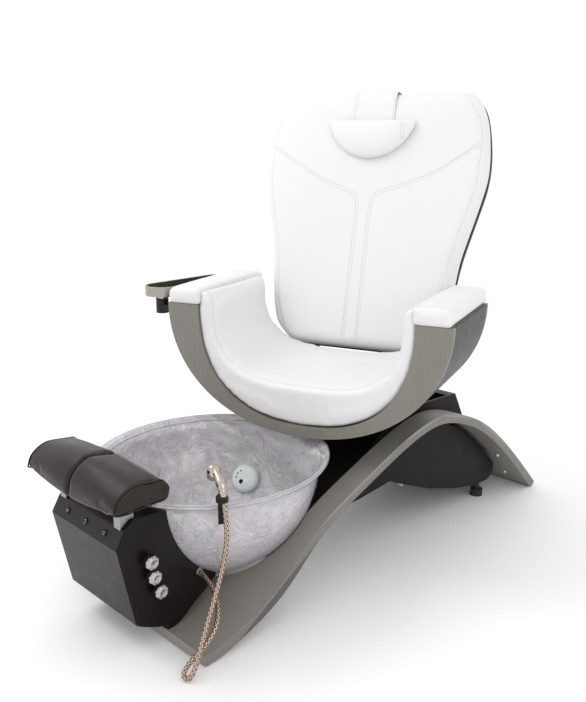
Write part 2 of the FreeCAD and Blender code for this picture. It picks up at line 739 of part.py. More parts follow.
def footrest_board():
    low = BAR[2] + KNUCKLE_RADIUS
    plate = box("footrest_plate", (-150, -180, low), 300, 110, BOARD_TOP - low)
    return keep(rounded("footrest_board", plate, (1, 3, 5, 7), 12))


# near end of a foot pad as (Y, Z)
PAD_END = [(-199, 419), (-191, 441), (-175, 457), (-152, 468), (-129, 470), (-83, 465), (-65, 462),
           (-50, 445), (-48, 435), (-57, 416), (-86, 414), (-127, 413), (-155, 411), (-183, 413)]
PAD_MIDDLE = (-124, 437.5)


def pad_section(x, swell):
    """The end outline grown by up to a tenth in depth and half in height."""
    points = []
    for y, z in PAD_END:
        lift = 0.5 if z > PAD_MIDDLE[1] else 0.9
        points.append((x, PAD_MIDDLE[0] + (y - PAD_MIDDLE[0]) * (1 + 0.06 * swell),
                       PAD_MIDDLE[1] + (z - PAD_MIDDLE[1]) * (1 + lift * swell)))
    curve = Part.BSplineCurve()
    curve.interpolate([V(*p) for p in points], PeriodicFlag=True)
    return Part.Wire([curve.toShape()])


def foot_pad(name, side):
    """One half of the bolster, fullest beside the split, hollowed over the board."""
    half = dim("foot_pad_half")
    split = 1.5
    sections = []
    for share in (0, 0.5, 1):
        x = side * (split + (half - split) * share)
        sections.append(pad_section(x, 1 - share ** 2))
    blank = solid("pad_blank_" + name, Part.makeLoft(sections, True, False))
    room = box("pad_room_" + name, (-152, -182, 340), 304, 114, BOARD_TOP - 340)
    return keep(cut("foot_pad_" + name, blank, room))


# ------------------------------------------------------------------ rear housing
TUB_SIDE = [(430, 206), (600, 208), (745, 222), (850, 176), (950, 136), (1100, 90), (1210, 66),
            (1300, 62), (1335, 85), (1335, 118), (1230, 214), (1110, 300), (1050, 330),
            (1044, 345), (650, 330), (470, 240), (400, 232)]
COVER_SIDE = [(400, 232), (470, 240), (650, 330), (1044, 345), (1048, 338), (1128, 332), (1122, 345),
              (1074, 431), (885, 436), (860, 420), (800, 402), (700, 392), (640, 350), (560, 318),
              (470, 262), (400, 250)]
TUB_HOLLOW = [(436, 214), (600, 212), (746, 226), (852, 180), (951, 140), (1101, 94), (1211, 70),
              (1298, 66), (1331, 87), (1331, 116), (1227, 210), (1107, 296), (1046, 326), (1040, 360),
              (650, 345), (470, 255)]
RAIL_TOP = 366.9


def jet_pocket(label):
    """Room for the jet's motor through the housing."""
    return cylinder(label, along(JET_POINT, JET_IN, -100), JET_IN, 34, 120)


def housing_tub():
    mass = prism("tub_mass", "YZ_Plane", TUB_SIDE, "2 * Sizes.housing_half")
    hollow = prism("tub_hollow", "YZ_Plane", TUB_HOLLOW, "2 * (Sizes.housing_half - Sizes.housing_wall)")
    near = cut("tub_hollow_trim", hollow, bowl_void("tub_bowl_inner", 7))
    room = bowl_void("tub_bowl", 3)
    return keep(cut("housing_tub", mass, near, room, jet_pocket("tub_pocket")))


def housing_cover():
    """Upper housing with the well for the seat carriage, hooked over the board behind."""
    mass = prism("cover_mass", "YZ_Plane", COVER_SIDE, "2 * Sizes.housing_half")
    well = box("cover_well", (-214, 640, dim("well_floor")), 428, 395, 200)
    board = extrusion("cover_board", board_face(), X_AXIS, "Sizes.board_width", True)
    front = box("cover_front", (-400, 300, 0), 800, 744, 700)
    rear_part = cut("cover_rear", board, front)
    below = box("cover_below", (-400, 1048, 0), 800, 200, 338)
    return keep(cut("housing_cover", mass, well, rear_part, below, bowl_void("cover_bowl", 3),
                    jet_pocket("cover_pocket")))


def housing_feet(tub):
    feet = []
    for side in (-1, 1):
        pad = cylinder("foot_disc_%d" % (side + 1), (side * 190, 1285, 0), (0, 0, 1), 22, 24)
        stem = cylinder("foot_stem_%d" % (side + 1), (side * 190, 1285, 24), (0, 0, 1), 9, 41)
        feet.append(fuse("foot_%d" % (side + 1), pad, stem))
    return keep(cut("housing_feet", fuse("feet_pair", *feet), tub))


def power_supply(tub):
    return keep(cut("power_supply", box("supply_box", (-80, 1212, 66), 160, 80, 52), tub))


def water_inlets(tub):
    """Threaded stubs for the hot and cold supply, pointing down."""
    stubs = []
    for i, x in enumerate((-70, 70)):
        stub = cylinder("inlet_stub_%d" % i, (x, 1000, 85), (0, 0, 1), 10.5, 34)
        nut = cylinder("inlet_nut_%d" % i, (x, 1000, 108), (0, 0, 1), 16, 11)
        bore = cylinder("inlet_bore_%d" % i, (x, 1000, 80), (0, 0, 1), 7, 40)
        stubs.append(cut("inlet_%d" % i, fuse("inlet_mass_%d" % i, stub, nut), bore))
    return keep(cut("water_inlets", fuse("inlet_pair", *stubs), tub))


def slide_rails():
    rails = [box("rail_%d" % (side + 1), (side * 90 - 12, 645, dim("well_floor")), 24, 385,
                 RAIL_TOP - dim("well_floor")) for side in (-1, 1)]
    return keep(fuse("slide_rails", *rails))


# ------------------------------------------------------------------ seat carriage
def carriage_plate():
    """Plate on the rails with a shoe on each side of each rail."""
    y = dim("swivel_y")
    pieces = [box("carriage_top", (-130, y - 110, 367), 260, 220, 12)]
    for side in (-1, 1):
        for edge in (-1, 1):
            x = side * 90 + edge * 16.1 - 4
            pieces.append(box("shoe_%d%d" % (side + 1, edge + 1), (x, y - 100, 353), 8, 200, 14))
    return keep(fuse("carriage_plate", *pieces))


def swivel_pivot():
    pin = turned("swivel_pivot", [(0, 379), (95, 379), (95, 387), (dim("swivel_pin"), 387),
                                  (dim("swivel_pin"), 402), (0, 402)])
    return keep(pin, FreeCAD.Placement(V(0, dim("swivel_y"), 0), FreeCAD.Rotation()))


SEAT = FreeCAD.Placement(V(0, dim("swivel_y"), 0), FreeCAD.Rotation(Z_AXIS, dim("swivel_turn")))
OUTER_POWER = 2.1
PAN_POWER = 2.4
CUSHION_POWER = 3.0
CUSHION_HALF = 288
# the seat rises towards the backrest, so no gap shows under it
CUSHION_DROP_FRONT = 215
CUSHION_DROP_REAR = 174
SHOULDER_TOP = 803


def arch_face(half, drop, power, y):
    """The lower half of a superellipse that hangs from the seat's top."""
    top = dim("seat_top")
    steps = 24
    points = []
    for step in range(steps + 1):
        turn = math.pi * step / steps
        across = abs(math.cos(turn)) ** (2 / power) * (1 if turn < math.pi / 2 else -1)
        points.append((half * across, y, top - drop * math.sin(turn) ** (2 / power)))
    points[steps // 2] = (0, y, top - drop)
    points[-1] = (-half, y, top)
    return face_of([spline(points).toShape(), line(points[-1], points[0])])


def arch(label, half, drop, power, start, end):
    return extrusion(label, arch_face(half, drop, power, start), Y_AXIS, end - start)


def shell_arch(label, start, end, skin=0):
    return arch(label, dim("shell_half") - skin, dim("shell_drop") - skin, OUTER_POWER, start, end)


def pan_arch(label, start, end, skin=0):
    return arch(label, dim("pan_half") + skin, dim("pan_drop") + skin, PAN_POWER, start, end)


def seat_base_plate():
    """Saddle between the shell and the swivel, with the upper bearing ring."""
    ring = cylinder("base_ring", (0, 0, 387.2), (0, 0, 1), 95, 11)
    inner = cylinder("base_ring_inner", (0, 0, 387), (0, 0, 1), 60, 10)
    saddle = box("base_saddle", (-130, -120, 397), 260, 180, 34)
    bore = cylinder("base_bore", (0, 0, 380), (0, 0, 1), "Sizes.swivel_pin + Sizes.running", 60)
    shell = shell_arch("base_shell", -330, 80)
    mass = fuse("base_mass", cut("base_ring_open", ring, inner), saddle)
    return keep(cut("seat_base_plate", mass, bore, shell), SEAT)


def seat_front_panel():
    front = dim("seat_front")
    rear = front + dim("panel_thick")
    return keep(cut("seat_front_panel", shell_arch("front_outer", front, rear),
                    pan_arch("front_inner", front - 1, rear + 1)), SEAT)


def seat_rear_panel():
    """Rear closure: full under the backrest, open beside it."""
    rear = dim("seat_rear")
    front = rear - dim("panel_thick")
    opening = common("rear_opening", pan_arch("rear_inner", front - 1, rear + 1),
                     box("rear_above", (-400, front - 2, 560), 800, 30, 300))
    return keep(cut("seat_rear_panel", shell_arch("rear_outer", front, rear), opening), SEAT)


def inner_span():
    """Front and rear ends of what lies between the two panels."""
    thick = dim("panel_thick")
    return dim("seat_front") + thick, dim("seat_rear") - thick


def seat_outer_skin():
    front, rear = inner_span()
    skin = dim("shell_skin")
    return keep(cut("seat_outer_skin", shell_arch("skin_outer", front, rear),
                    shell_arch("skin_inner", front - 1, rear + 1, skin)), SEAT)


def seat_inner_pan():
    """Pan under the cushion with a flange out to the shell's top edge on each side."""
    front, rear = inner_span()
    skin = dim("pan_skin")
    pan = cut("pan_wall", pan_arch("pan_outer", front, rear, skin),
              pan_arch("pan_inner", front - 1, rear + 1))
    reach = dim("shell_half") - dim("pan_half")
    flanges = [box("pan_flange_%d" % (side + 1),
                   (side * dim("pan_half") - (reach if side < 0 else 0), front, dim("seat_top") - skin),
                   reach, rear - front, skin) for side in (-1, 1)]
    outside = cut("pan_outside", box("pan_limit", (-500, front - 1, 300), 1000, rear - front + 2, 600),
                  shell_arch("pan_limit_arch", front - 2, rear + 2, dim("shell_skin")))
    inside = pan_arch("pan_clear", front - 1, rear + 1)
    wings = cut("pan_wings", fuse("pan_flange_pair", *flanges), inside, outside)
    return keep(fuse("seat_inner_pan", pan, wings), SEAT)


BACK_START = 46


def back_frame():
    """Frame of the backrest: X across, Y backwards, Z up its front face."""
    lean = FreeCAD.Rotation(X_AXIS, -dim("back_lean"))
    return FreeCAD.Placement(V(0, BACK_START, dim("back_foot")), lean)


BACK = SEAT.multiply(back_frame())


def seat_cushion():
    """U-shaped cushion: seat and both inner arm sides in one piece."""
    front = dim("seat_front") + 3
    blank = pan_arch("cushion_blank", front, BACK_START, -0.5)
    ends = [arch_face(CUSHION_HALF, drop, CUSHION_POWER, y).OuterWire
            for drop, y in ((CUSHION_DROP_FRONT, front - 5), (CUSHION_DROP_REAR, BACK_START + 5))]
    room = solid("cushion_room", Part.makeLoft(ends, True, True))
    low = dim("seat_top") - 1
    roof = box("cushion_roof", (-400, front - 2, low), 800, 500, 60)
    behind = box("cushion_behind", (-400, -3, -400), 800, 300, 900)
    behind.Placement = back_frame().multiply(behind.Placement)
    trough = cut("cushion_trough", blank, room, roof, behind)
    width = dim("arm_pad_inner") - 0.5 - CUSHION_HALF
    shoulders = []
    for side in (-1, 1):
        left = CUSHION_HALF if side > 0 else -CUSHION_HALF - width
        shoulders.append(box("cushion_shoulder_%d" % (side + 1), (left, front, low), width,
                             BACK_START - 8 - front, SHOULDER_TOP - low))
    return keep(fuse("seat_cushion", trough, *shoulders), SEAT)


def arm_pad(name, side):
    inner, outer = dim("arm_pad_inner"), dim("arm_pad_outer")
    x = side * (inner + outer) / 2 - (outer - inner) / 2
    blank = box("arm_pad_box_" + name, (x, -329, dim("seat_top") + 0.3),
                "Sizes.arm_pad_outer - Sizes.arm_pad_inner", 408, "Sizes.arm_pad_height")
    return keep(rounded("arm_pad_" + name, blank, range(1, 13), 16), SEAT)


# ------------------------------------------------------------------ backrest
# right half of the back's outline as (across, up)
BACK_SIDE = [(205, -11), (245, 20), (280, 66), (304, 170), (317, 284), (335, 367), (355, 450),
             (373, 540), (375, 605), (367, 678), (355, 735), (330, 790), (295, 816)]


def back_face(scale_in, y):
    """The back's outline, moved in by a margin, in a plane across the frame's Y."""
    right = [(x - scale_in, y, z) for x, z in BACK_SIDE]
    left = [(-x, y, z) for x, y, z in reversed(right)]
    return face_of([spline(right).toShape(), line(right[-1], left[0]), spline(left).toShape(),
                    line(left[-1], right[0])])


def backrest_cushion():
    return keep(extrusion("backrest_cushion", back_face(0, 0), Y_AXIS, "Sizes.back_pad"), BACK)


def backrest_shell():
    start = dim("back_pad")
    return keep(extrusion("backrest_shell", back_face(6, start), Y_AXIS, "Sizes.back_shell"), BACK)


def pivot_in_back():
    """The recline axis in the backrest's frame, as (Y, Z)."""
    at = back_frame().inverse().multVec(V(0, dim("pivot_y"), dim("pivot_z")))
    return at.y, at.z


ARM_X = 150
ARM_THICK = 8


def backrest_arms():
    """Two plates from the back shell down to the recline shaft."""
    outline = [(100, 160), (115, 160), (115, -40), (80, -70), (55, -70), (50, -20), (100, -16)]
    y, z = pivot_in_back()
    plates = []
    for side in (-1, 1):
        plate = prism("back_plate_%d" % (side + 1), "YZ_Plane", outline, ARM_THICK)
        plate.Placement.Base = V(side * ARM_X, 0, 0)
        plates.append(plate)
    bore = cylinder("back_plate_bore", (-200, y, z), (1, 0, 0), "Sizes.shaft_radius", 400)
    return keep(cut("backrest_arms", fuse("back_plates", *plates), bore), BACK)


def recline_shaft():
    y, z = pivot_in_back()
    return keep(cylinder("recline_shaft", (-176, y, z), (1, 0, 0), "Sizes.shaft_radius", 352), BACK)


def recline_brackets():
    """Two plates on the rear panel that carry the shaft."""
    outline = [(70, 452), (96, 452), (122, 520), (118, 546), (84, 546), (70, 500)]
    plates = []
    for side in (-1, 1):
        plate = prism("bracket_plate_%d" % (side + 1), "YZ_Plane", outline, 8)
        plate.Placement.Base = V(side * 164, 0, 0)
        foot = box("bracket_foot_%d" % (side + 1), (side * 164 - 16, 70, 452), 32, 6, 48)
        plates += [plate, foot]
    bore = cylinder("bracket_bore", (-200, dim("pivot_y"), dim("pivot_z")), (1, 0, 0),
                    "Sizes.shaft_radius + Sizes.running", 400)
    return keep(cut("recline_brackets", fuse("bracket_pair", *plates), bore), SEAT)


def recline_gearbox():
    """Gearbox round the middle of the shaft, on the rear panel."""
    case = box("gear_case", (-60, 76, 498), 120, 48, 52)
    foot = box("gear_foot", (-70, 70, 470), 140, 6, 80)
    bore = cylinder("gear_bore", (-200, dim("pivot_y"), dim("pivot_z")), (1, 0, 0),
                    "Sizes.shaft_radius + Sizes.running", 400)
    return keep(cut("recline_gearbox", fuse("gear_mass", case, foot), bore), SEAT)


def head_pillow():
    """Half-moon pillow: straight along its top, round below."""
    top, low, half = 722, 592, 150
    arc = Part.Arc(V(-half, 0, top - 12), V(0, 0, low), V(half, 0, top - 12)).toShape()
    face = face_of([arc, line((half, 0, top - 12), (half - 10, 0, top)),
                    line((half - 10, 0, top), (-half + 10, 0, top)),
                    line((-half + 10, 0, top), (-half, 0, top - 12))])
    blank = extrusion("head_pillow", face, V(0, -1, 0), 42)
    return keep(blank, BACK)


def pillow_strap():
    """Band over the top of the back that holds the pillow."""
    thick = 2.5
    deep = dim("back_pad") + dim("back_shell")
    band = box("strap_band", (-68, -thick, 655), 136, deep + 2 * thick, 816 + thick - 655)
    back = box("strap_back", (-80, 0, 600), 160, deep, 216)
    return keep(cut("pillow_strap", band, back, box("strap_pillow", (-90, -10, 600), 180, 10, 122)), BACK)


# ------------------------------------------------------------------ tray
TRAY_BIG = (-495, -255)
TRAY_SMALL = (-460, -18)
TRAY_PIVOT = (-476, -285)
TRAY_LOW = 770
TRAY_HIGH = 800


def teardrop(margin, z):
    """Outline of the tray: two circles and their outer tangents, moved in by a margin."""
    big, small = V(TRAY_BIG[0], TRAY_BIG[1], z), V(TRAY_SMALL[0], TRAY_SMALL[1], z)
    r_big, r_small = dim("tray_radius") - margin, dim("tray_tail_radius") - margin
    way = small - big
    base = math.atan2(way.y, way.x)
    spread = math.acos((r_big - r_small) / way.Length)

    def on(centre, radius, turn):
        return centre + V(math.cos(turn), math.sin(turn), 0) * radius
    low, high = base - spread, base + spread
    return face_of([
        Part.Arc(on(big, r_big, high), on(big, r_big, base + math.pi), on(big, r_big, low)).toShape(),
        line(on(big, r_big, low), on(small, r_small, low)),
        Part.Arc(on(small, r_small, low), on(small, r_small, base), on(small, r_small, high)).toShape(),
        line(on(small, r_small, high), on(big, r_big, high))])


def tray_rim():
    outer = extrusion("tray_outer", teardrop(0, TRAY_LOW), Z_AXIS, TRAY_HIGH - TRAY_LOW)
    inner = extrusion("tray_inner", teardrop(dim("tray_wall"), TRAY_LOW - 1), Z_AXIS, 40)
    return keep(cut("tray_rim", outer, inner), SEAT)


def tray_dish():
    return keep(extrusion("tray_dish", teardrop(dim("tray_wall"), TRAY_LOW), Z_AXIS, 6), SEAT)


def tray_pivot():
    """Pin under the tray that turns in the bracket's boss."""
    collar = cylinder("pivot_collar", TRAY_PIVOT + (766.2,), (0, 0, 1), 14, 3.8)
    pin = cylinder("pivot_pin", TRAY_PIVOT + (724,), (0, 0, 1), "Sizes.tray_pin", TRAY_LOW - 724)
    return keep(fuse("tray_pivot", collar, pin), SEAT)


def tray_bracket():
    """Arm from the seat shell's side to the round boss."""
    arm = box("bracket_arm", (TRAY_PIVOT[0], -301, 728), 70, 32, 20)
    boss = cylinder("bracket_boss", TRAY_PIVOT + (722,), (0, 0, 1), 19, 44)
    bore = cylinder("bracket_pin_bore", TRAY_PIVOT + (710,), (0, 0, 1), "Sizes.tray_pin + Sizes.running", 80)
    shell = shell_arch("bracket_shell", -330, 80)
    return keep(cut("tray_bracket", fuse("bracket_mass", arm, boss), bore, shell), SEAT)


# ------------------------------------------------------------------ assembly
board = ribbon_base()
foot_strips()
leg_screws(board)
bowl()
bowl_gasket()
drain_fitting()
drain_pump()
drain_outlet()
jet_body()
jet_cap()
jet_motor()
jet_impeller()
console_shell()
control_panel()
for name, x in BUTTONS.items():
    button(name, x)
control_board()
mixing_valve()
for name, (y, z) in KNOBS.items():
    knob(name, y, z)
hose_outlet()
hose()
spray_handle()
spray_holder()
footrest_sleeve()
footrest_post()
footrest_knuckles()
footrest_board()
foot_pad("left", 1)
foot_pad("right", -1)
tub = housing_tub()
housing_cover()
housing_feet(tub)
power_supply(tub)
water_inlets(tub)
slide_rails()
carriage_plate()
swivel_pivot()
seat_base_plate()
seat_front_panel()
seat_rear_panel()
seat_outer_skin()
seat_inner_pan()
seat_cushion()
arm_pad("left", 1)
arm_pad("right", -1)
backrest_cushion()
backrest_shell()
backrest_arms()
recline_shaft()
recline_brackets()
recline_gearbox()
head_pillow()
pillow_strap()
tray_rim()
tray_dish()
tray_pivot()
tray_bracket()

doc.recompute()
for obj in doc.Objects:
    if "Invalid" in obj.State or "Error" in obj.State:
        raise RuntimeError("%s failed: %s" % (obj.Label, obj.State))
for obj in PARTS:
    if obj.Shape.isNull() or not obj.Shape.isValid() or not obj.Shape.Solids:
        raise RuntimeError("%s has no valid shape" % obj.Label)

os.makedirs("parts", exist_ok=True)
for obj in PARTS:
    obj.Shape.exportStep("parts/%s.step" % obj.Label)
    bounds = obj.Shape.BoundBox
    print("%-18s %2d solids  x %7.1f %7.1f  y %7.1f %7.1f  z %7.1f %7.1f" % (
        obj.Label, len(obj.Shape.Solids), bounds.XMin, bounds.XMax, bounds.YMin, bounds.YMax,
        bounds.ZMin, bounds.ZMax))
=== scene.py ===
"""Pedicure spa chair: the looks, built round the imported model. Metres, in the CAD's frame."""
import json
import math

import bmesh
import bpy
from mathutils import Matrix, Vector
from mathutils.bvhtree import BVHTree
from mathutils.kdtree import KDTree


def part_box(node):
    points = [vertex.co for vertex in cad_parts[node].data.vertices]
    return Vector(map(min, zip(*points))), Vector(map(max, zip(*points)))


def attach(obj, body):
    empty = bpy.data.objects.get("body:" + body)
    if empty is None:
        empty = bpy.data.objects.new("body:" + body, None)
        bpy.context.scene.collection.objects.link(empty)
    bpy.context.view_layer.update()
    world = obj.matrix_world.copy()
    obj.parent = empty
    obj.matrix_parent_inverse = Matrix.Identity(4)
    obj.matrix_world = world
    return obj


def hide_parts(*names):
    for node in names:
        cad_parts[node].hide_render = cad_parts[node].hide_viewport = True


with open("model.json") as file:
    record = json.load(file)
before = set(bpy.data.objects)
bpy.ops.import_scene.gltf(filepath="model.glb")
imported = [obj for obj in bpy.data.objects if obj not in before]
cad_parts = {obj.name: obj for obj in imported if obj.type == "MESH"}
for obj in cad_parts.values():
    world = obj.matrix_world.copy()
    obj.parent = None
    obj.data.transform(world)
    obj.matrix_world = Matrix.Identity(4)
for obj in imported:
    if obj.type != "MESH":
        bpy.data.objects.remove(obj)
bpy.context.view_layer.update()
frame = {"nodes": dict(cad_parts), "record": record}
scene = bpy.context.scene
scene.view_settings.view_transform = "Standard"

# ------------------------------------------------------------------ camera
CAMERA_AT = Vector((1.634, -1.049, 1.200))
CAMERA_AZIMUTH = math.radians(45.6)
CAMERA_PITCH = math.radians(14.10)
CAMERA_LENS = 41.03

look = Vector((-math.sin(CAMERA_AZIMUTH) * math.cos(CAMERA_PITCH),
               math.cos(CAMERA_AZIMUTH) * math.cos(CAMERA_PITCH), -math.sin(CAMERA_PITCH)))
camera = bpy.data.objects.new("camera", bpy.data.cameras.new("camera"))
scene.collection.objects.link(camera)
camera.location = CAMERA_AT
camera.rotation_mode = "QUATERNION"
camera.rotation_quaternion = look.to_track_quat("-Z", "Y")
camera.data.lens = CAMERA_LENS
camera.data.sensor_width = 36.0
camera.data.clip_start = 0.01
scene.camera = camera


# ------------------------------------------------------------------ mesh helpers
def mesh_piece(name, points, faces, smooth=True):
    """A mesh object with its faces turned outwards."""
    mesh = bpy.data.meshes.new(name)
    mesh.from_pydata([tuple(p) for p in points], [], faces)
    mesh.validate()
    work = bmesh.new()
    work.from_mesh(mesh)
    bmesh.ops.recalc_face_normals(work, faces=work.faces)
    work.to_mesh(mesh)
    work.free()
    if smooth:
        mesh.shade_smooth()
    piece = bpy.data.objects.new(name, mesh)
    scene.collection.objects.link(piece)
    return piece


def skin(rings, closed=True):
    """Points and faces over rings of equal length."""
    count = len(rings[0])
    faces = []
    for r in range(len(rings) - 1):
        for i in range(count if closed else count - 1):
            j = (i + 1) % count
            faces.append((r * count + i, r * count + j, (r + 1) * count + j, (r + 1) * count + i))
    return [p for ring in rings for p in ring], faces


def capped(name, rings, smooth=True):
    """A closed loft whose ends are fans round their middles."""
    points, faces = skin(rings)
    count = len(rings[0])
    for start in (0, len(points) - count):
        middle = sum((Vector(p) for p in points[start:start + count]), Vector()) / count
        points.append(middle)
        hub = len(points) - 1
        faces += [(start + i, start + (i + 1) % count, hub) for i in range(count)]
    return mesh_piece(name, points, faces, smooth)


def through(points, per_span=12):
    """A smooth line through points (Catmull-Rom)."""
    points = [Vector(p) for p in points]
    ends = [2 * points[0] - points[1]] + points + [2 * points[-1] - points[-2]]
    line = []
    for a, b, c, d in zip(ends, ends[1:], ends[2:], ends[3:]):
        for k in range(per_span):
            t = k / per_span
            line.append(0.5 * (2 * b + (c - a) * t + (2 * a - 5 * b + 4 * c - d) * t * t
                               + (3 * b - a - 3 * c + d) * t ** 3))
    return line + [points[-1]]


def spaced(line, count):
    """The same line as count points at equal distances."""
    lengths = [0.0]
    for a, b in zip(line, line[1:]):
        lengths.append(lengths[-1] + (Vector(b) - Vector(a)).length)
    out, k = [], 0
    for i in range(count):
        want = lengths[-1] * i / (count - 1)
        while k < len(line) - 2 and lengths[k + 1] < want:
            k += 1
        span = lengths[k + 1] - lengths[k] or 1.0
        out.append(Vector(line[k]).lerp(Vector(line[k + 1]), (want - lengths[k]) / span))
    return out


def length_of(line):
    return sum((Vector(b) - Vector(a)).length for a, b in zip(line, line[1:]))


def tube(name, path, radii, sides=16, uv=False):
    """A tube of varying radius along a path, with its twist kept down."""
    path = [Vector(p) for p in path]
    rings, normal, run = [], None, 0.0
    runs = []
    for i, p in enumerate(path):
        ahead = path[min(i + 1, len(path) - 1)] - path[max(i - 1, 0)]
        ahead.normalize()
        if normal is None:
            side = Vector((0, 0, 1)) if abs(ahead.z) < 0.9 else Vector((1, 0, 0))
            normal = ahead.cross(side).normalized()
        normal = (normal - ahead * normal.dot(ahead)).normalized()
        across = ahead.cross(normal)
        radius = radii[i] if hasattr(radii, "__len__") else radii
        rings.append([p + (normal * math.cos(a) + across * math.sin(a)) * radius
                      for a in (2 * math.pi * k / sides for k in range(sides))])
        run += (p - path[i - 1]).length if i else 0.0
        runs.append(run)
    piece = capped(name, rings)
    if uv:
        layer = piece.data.uv_layers.new(name="braid")
        for poly in piece.data.polygons:
            turns = [(piece.data.loops[k].vertex_index % sides) / sides for k in poly.loop_indices]
            wraps = max(turns) - min(turns) > 0.5
            for k, turn in zip(poly.loop_indices, turns):
                ring = min(piece.data.loops[k].vertex_index // sides, len(runs) - 1)
                layer.data[k].uv = ((turn + 1.0 if wraps and turn < 0.5 else turn), runs[ring])
    return piece


def turned(name, profile, frame_of, sides=64, flutes=0, depth=0.0):
    """A body of revolution about the frame's Z from (radius, height) pairs, fluted if asked."""
    rings = []
    for radius, height in profile:
        ring = []
        for k in range(sides):
            a = 2 * math.pi * k / sides
            r = radius * (1 - depth * (0.5 + 0.5 * math.cos(flutes * a))) if flutes else radius
            ring.append(frame_of @ Vector((r * math.cos(a), r * math.sin(a), height)))
        rings.append(ring)
    return capped(name, rings)


def frame_along(origin, axis):
    return Matrix.Translation(Vector(origin)) @ Vector(axis).to_track_quat("Z", "Y").to_matrix().to_4x4()


def applied(piece, kind, **settings):
    """Add a modifier with these settings and apply it."""
    made = piece.modifiers.new(kind.lower(), kind)
    for key, value in settings.items():
        setattr(made, key, value)
    bpy.context.view_layer.update()
    graph = bpy.context.evaluated_depsgraph_get()
    mesh = bpy.data.meshes.new_from_object(piece.evaluated_get(graph))
    piece.modifiers.clear()
    old = piece.data
    mesh.name = piece.name
    piece.data = mesh
    bpy.data.meshes.remove(old)
    piece.data.shade_smooth()
    return piece


CLOTH_FRAMES = 20
LARGE_VOXEL = 0.008


def puffed(piece, cap, voxel=0.006, pressure=4.0):
    """Remesh a closed shape, let cloth pressure fill it, and hold each point within cap."""
    applied(piece, "REMESH", mode="VOXEL", voxel_size=voxel, use_smooth_shade=True)
    applied(piece, "SMOOTH", factor=0.5, iterations=6)
    start = [v.co.copy() for v in piece.data.vertices]
    cloth = piece.modifiers.new("cloth", "CLOTH")
    cloth.settings.use_pressure = True
    cloth.settings.uniform_pressure_force = pressure
    cloth.settings.effector_weights.gravity = 0.0
    cloth.point_cache.frame_end = CLOTH_FRAMES
    for number in range(1, CLOTH_FRAMES + 1):
        scene.frame_set(number)
    graph = bpy.context.evaluated_depsgraph_get()
    moved = piece.evaluated_get(graph).data
    for vertex, old, new in zip(piece.data.vertices, start, [v.co.copy() for v in moved.vertices]):
        step = new - old
        if step.length > cap:
            step.length = cap
        vertex.co = old + step
    piece.modifiers.clear()
    scene.frame_set(1)
    return applied(piece, "SUBSURF", levels=1)


def sewn(piece, lines, width, depth):
    """Press seams into a piece along lines that run near its surface."""
    marks = [p for line in lines for p in spaced(line, max(2, int(length_of(line) / 0.002)))]
    tree = KDTree(len(marks))
    for i, p in enumerate(marks):
        tree.insert(p, i)
    tree.balance()
    for vertex in piece.data.vertices:
        near = tree.find(vertex.co)[2]
        if near < 3 * width:
            vertex.co = vertex.co - vertex.normal * depth * math.exp(-(near / width) ** 2)


STITCH = 0.0046
STITCH_PITCH = 0.0078
THREAD = 0.00062


def stitched(name, host, lines, offsets, body):
    """Rows of thread beside each line, lying on the host's surface."""
    bpy.context.view_layer.update()
    surface = BVHTree.FromObject(host, bpy.context.evaluated_depsgraph_get())
    points, faces = [], []
    for line in lines:
        steps = max(2, int(length_of(line) / STITCH_PITCH))
        marks = spaced(line, steps)
        for i in range(1, steps - 1):
            ahead = (marks[i + 1] - marks[i - 1]).normalized()
            place, normal = surface.find_nearest(marks[i])[:2]
            side = normal.cross(ahead).normalized()
            for offset in offsets:
                at, up = surface.find_nearest(place + side * offset)[:2]
                along = (ahead - up * ahead.dot(up)).normalized()
                flank = up.cross(along)
                first = len(points)
                for t, size in ((-0.5, 0.35), (-0.36, 1.0), (0.36, 1.0), (0.5, 0.35)):
                    for k in range(6):
                        a = math.pi * k / 3
                        points.append(at + along * (t * STITCH) + up * (0.3 + math.sin(a)) * THREAD * size
                                      + flank * math.cos(a) * THREAD * 1.3 * size)
                for r in range(3):
                    for k in range(6):
                        j = (k + 1) % 6
                        faces.append((first + 6 * r + k, first + 6 * r + j,
                                      first + 6 * r + 6 + j, first + 6 * r + 6 + k))
                faces.append(tuple(first + k for k in range(6)))
                faces.append(tuple(first + 18 + k for k in range(6)))
    piece = mesh_piece(name, points, faces)
    return dressed(piece, body, MATERIALS["thread"])


# ------------------------------------------------------------------ materials
def add(tree, kind, inputs=(), **props):
    """A node with its properties, and its inputs set or linked."""
    made = tree.nodes.new(kind)
    for key, value in props.items():
        setattr(made, key, value)
    for key, value in dict(inputs).items():
        if isinstance(value, bpy.types.NodeSocket):
            tree.links.new(value, made.inputs[key])
        else:
            made.inputs[key].default_value = value
    return made


def surface(name, **sockets):
    made = bpy.data.materials.new(name)
    made.use_nodes = True
    shader = made.node_tree.nodes["Principled BSDF"]
    for key, value in sockets.items():
        shader.inputs[key.replace("_", " ")].default_value = value
    return made, made.node_tree, shader


def placed(tree, scale=(1, 1, 1), turn=(0, 0, 0), source="Object"):
    coords = add(tree, "ShaderNodeTexCoord")
    return add(tree, "ShaderNodeMapping", {"Vector": coords.outputs[source], "Scale": scale,
                                           "Rotation": turn}).outputs["Vector"]


def noise(tree, vector, scale, detail=4.0, rough=0.55, warp=0.0):
    return add(tree, "ShaderNodeTexNoise", {"Vector": vector, "Scale": scale, "Detail": detail,
                                            "Roughness": rough, "Distortion": warp}).outputs["Fac"]


def ramp(tree, factor, stops):
    made = add(tree, "ShaderNodeValToRGB", {"Fac": factor})
    while len(made.color_ramp.elements) < len(stops):
        made.color_ramp.elements.new(0.5)
    for element, (at, colour) in zip(made.color_ramp.elements, stops):
        element.position = at
        element.color = (*colour, 1.0) if hasattr(colour, "__len__") else (colour, colour, colour, 1.0)
    return made.outputs["Color"]


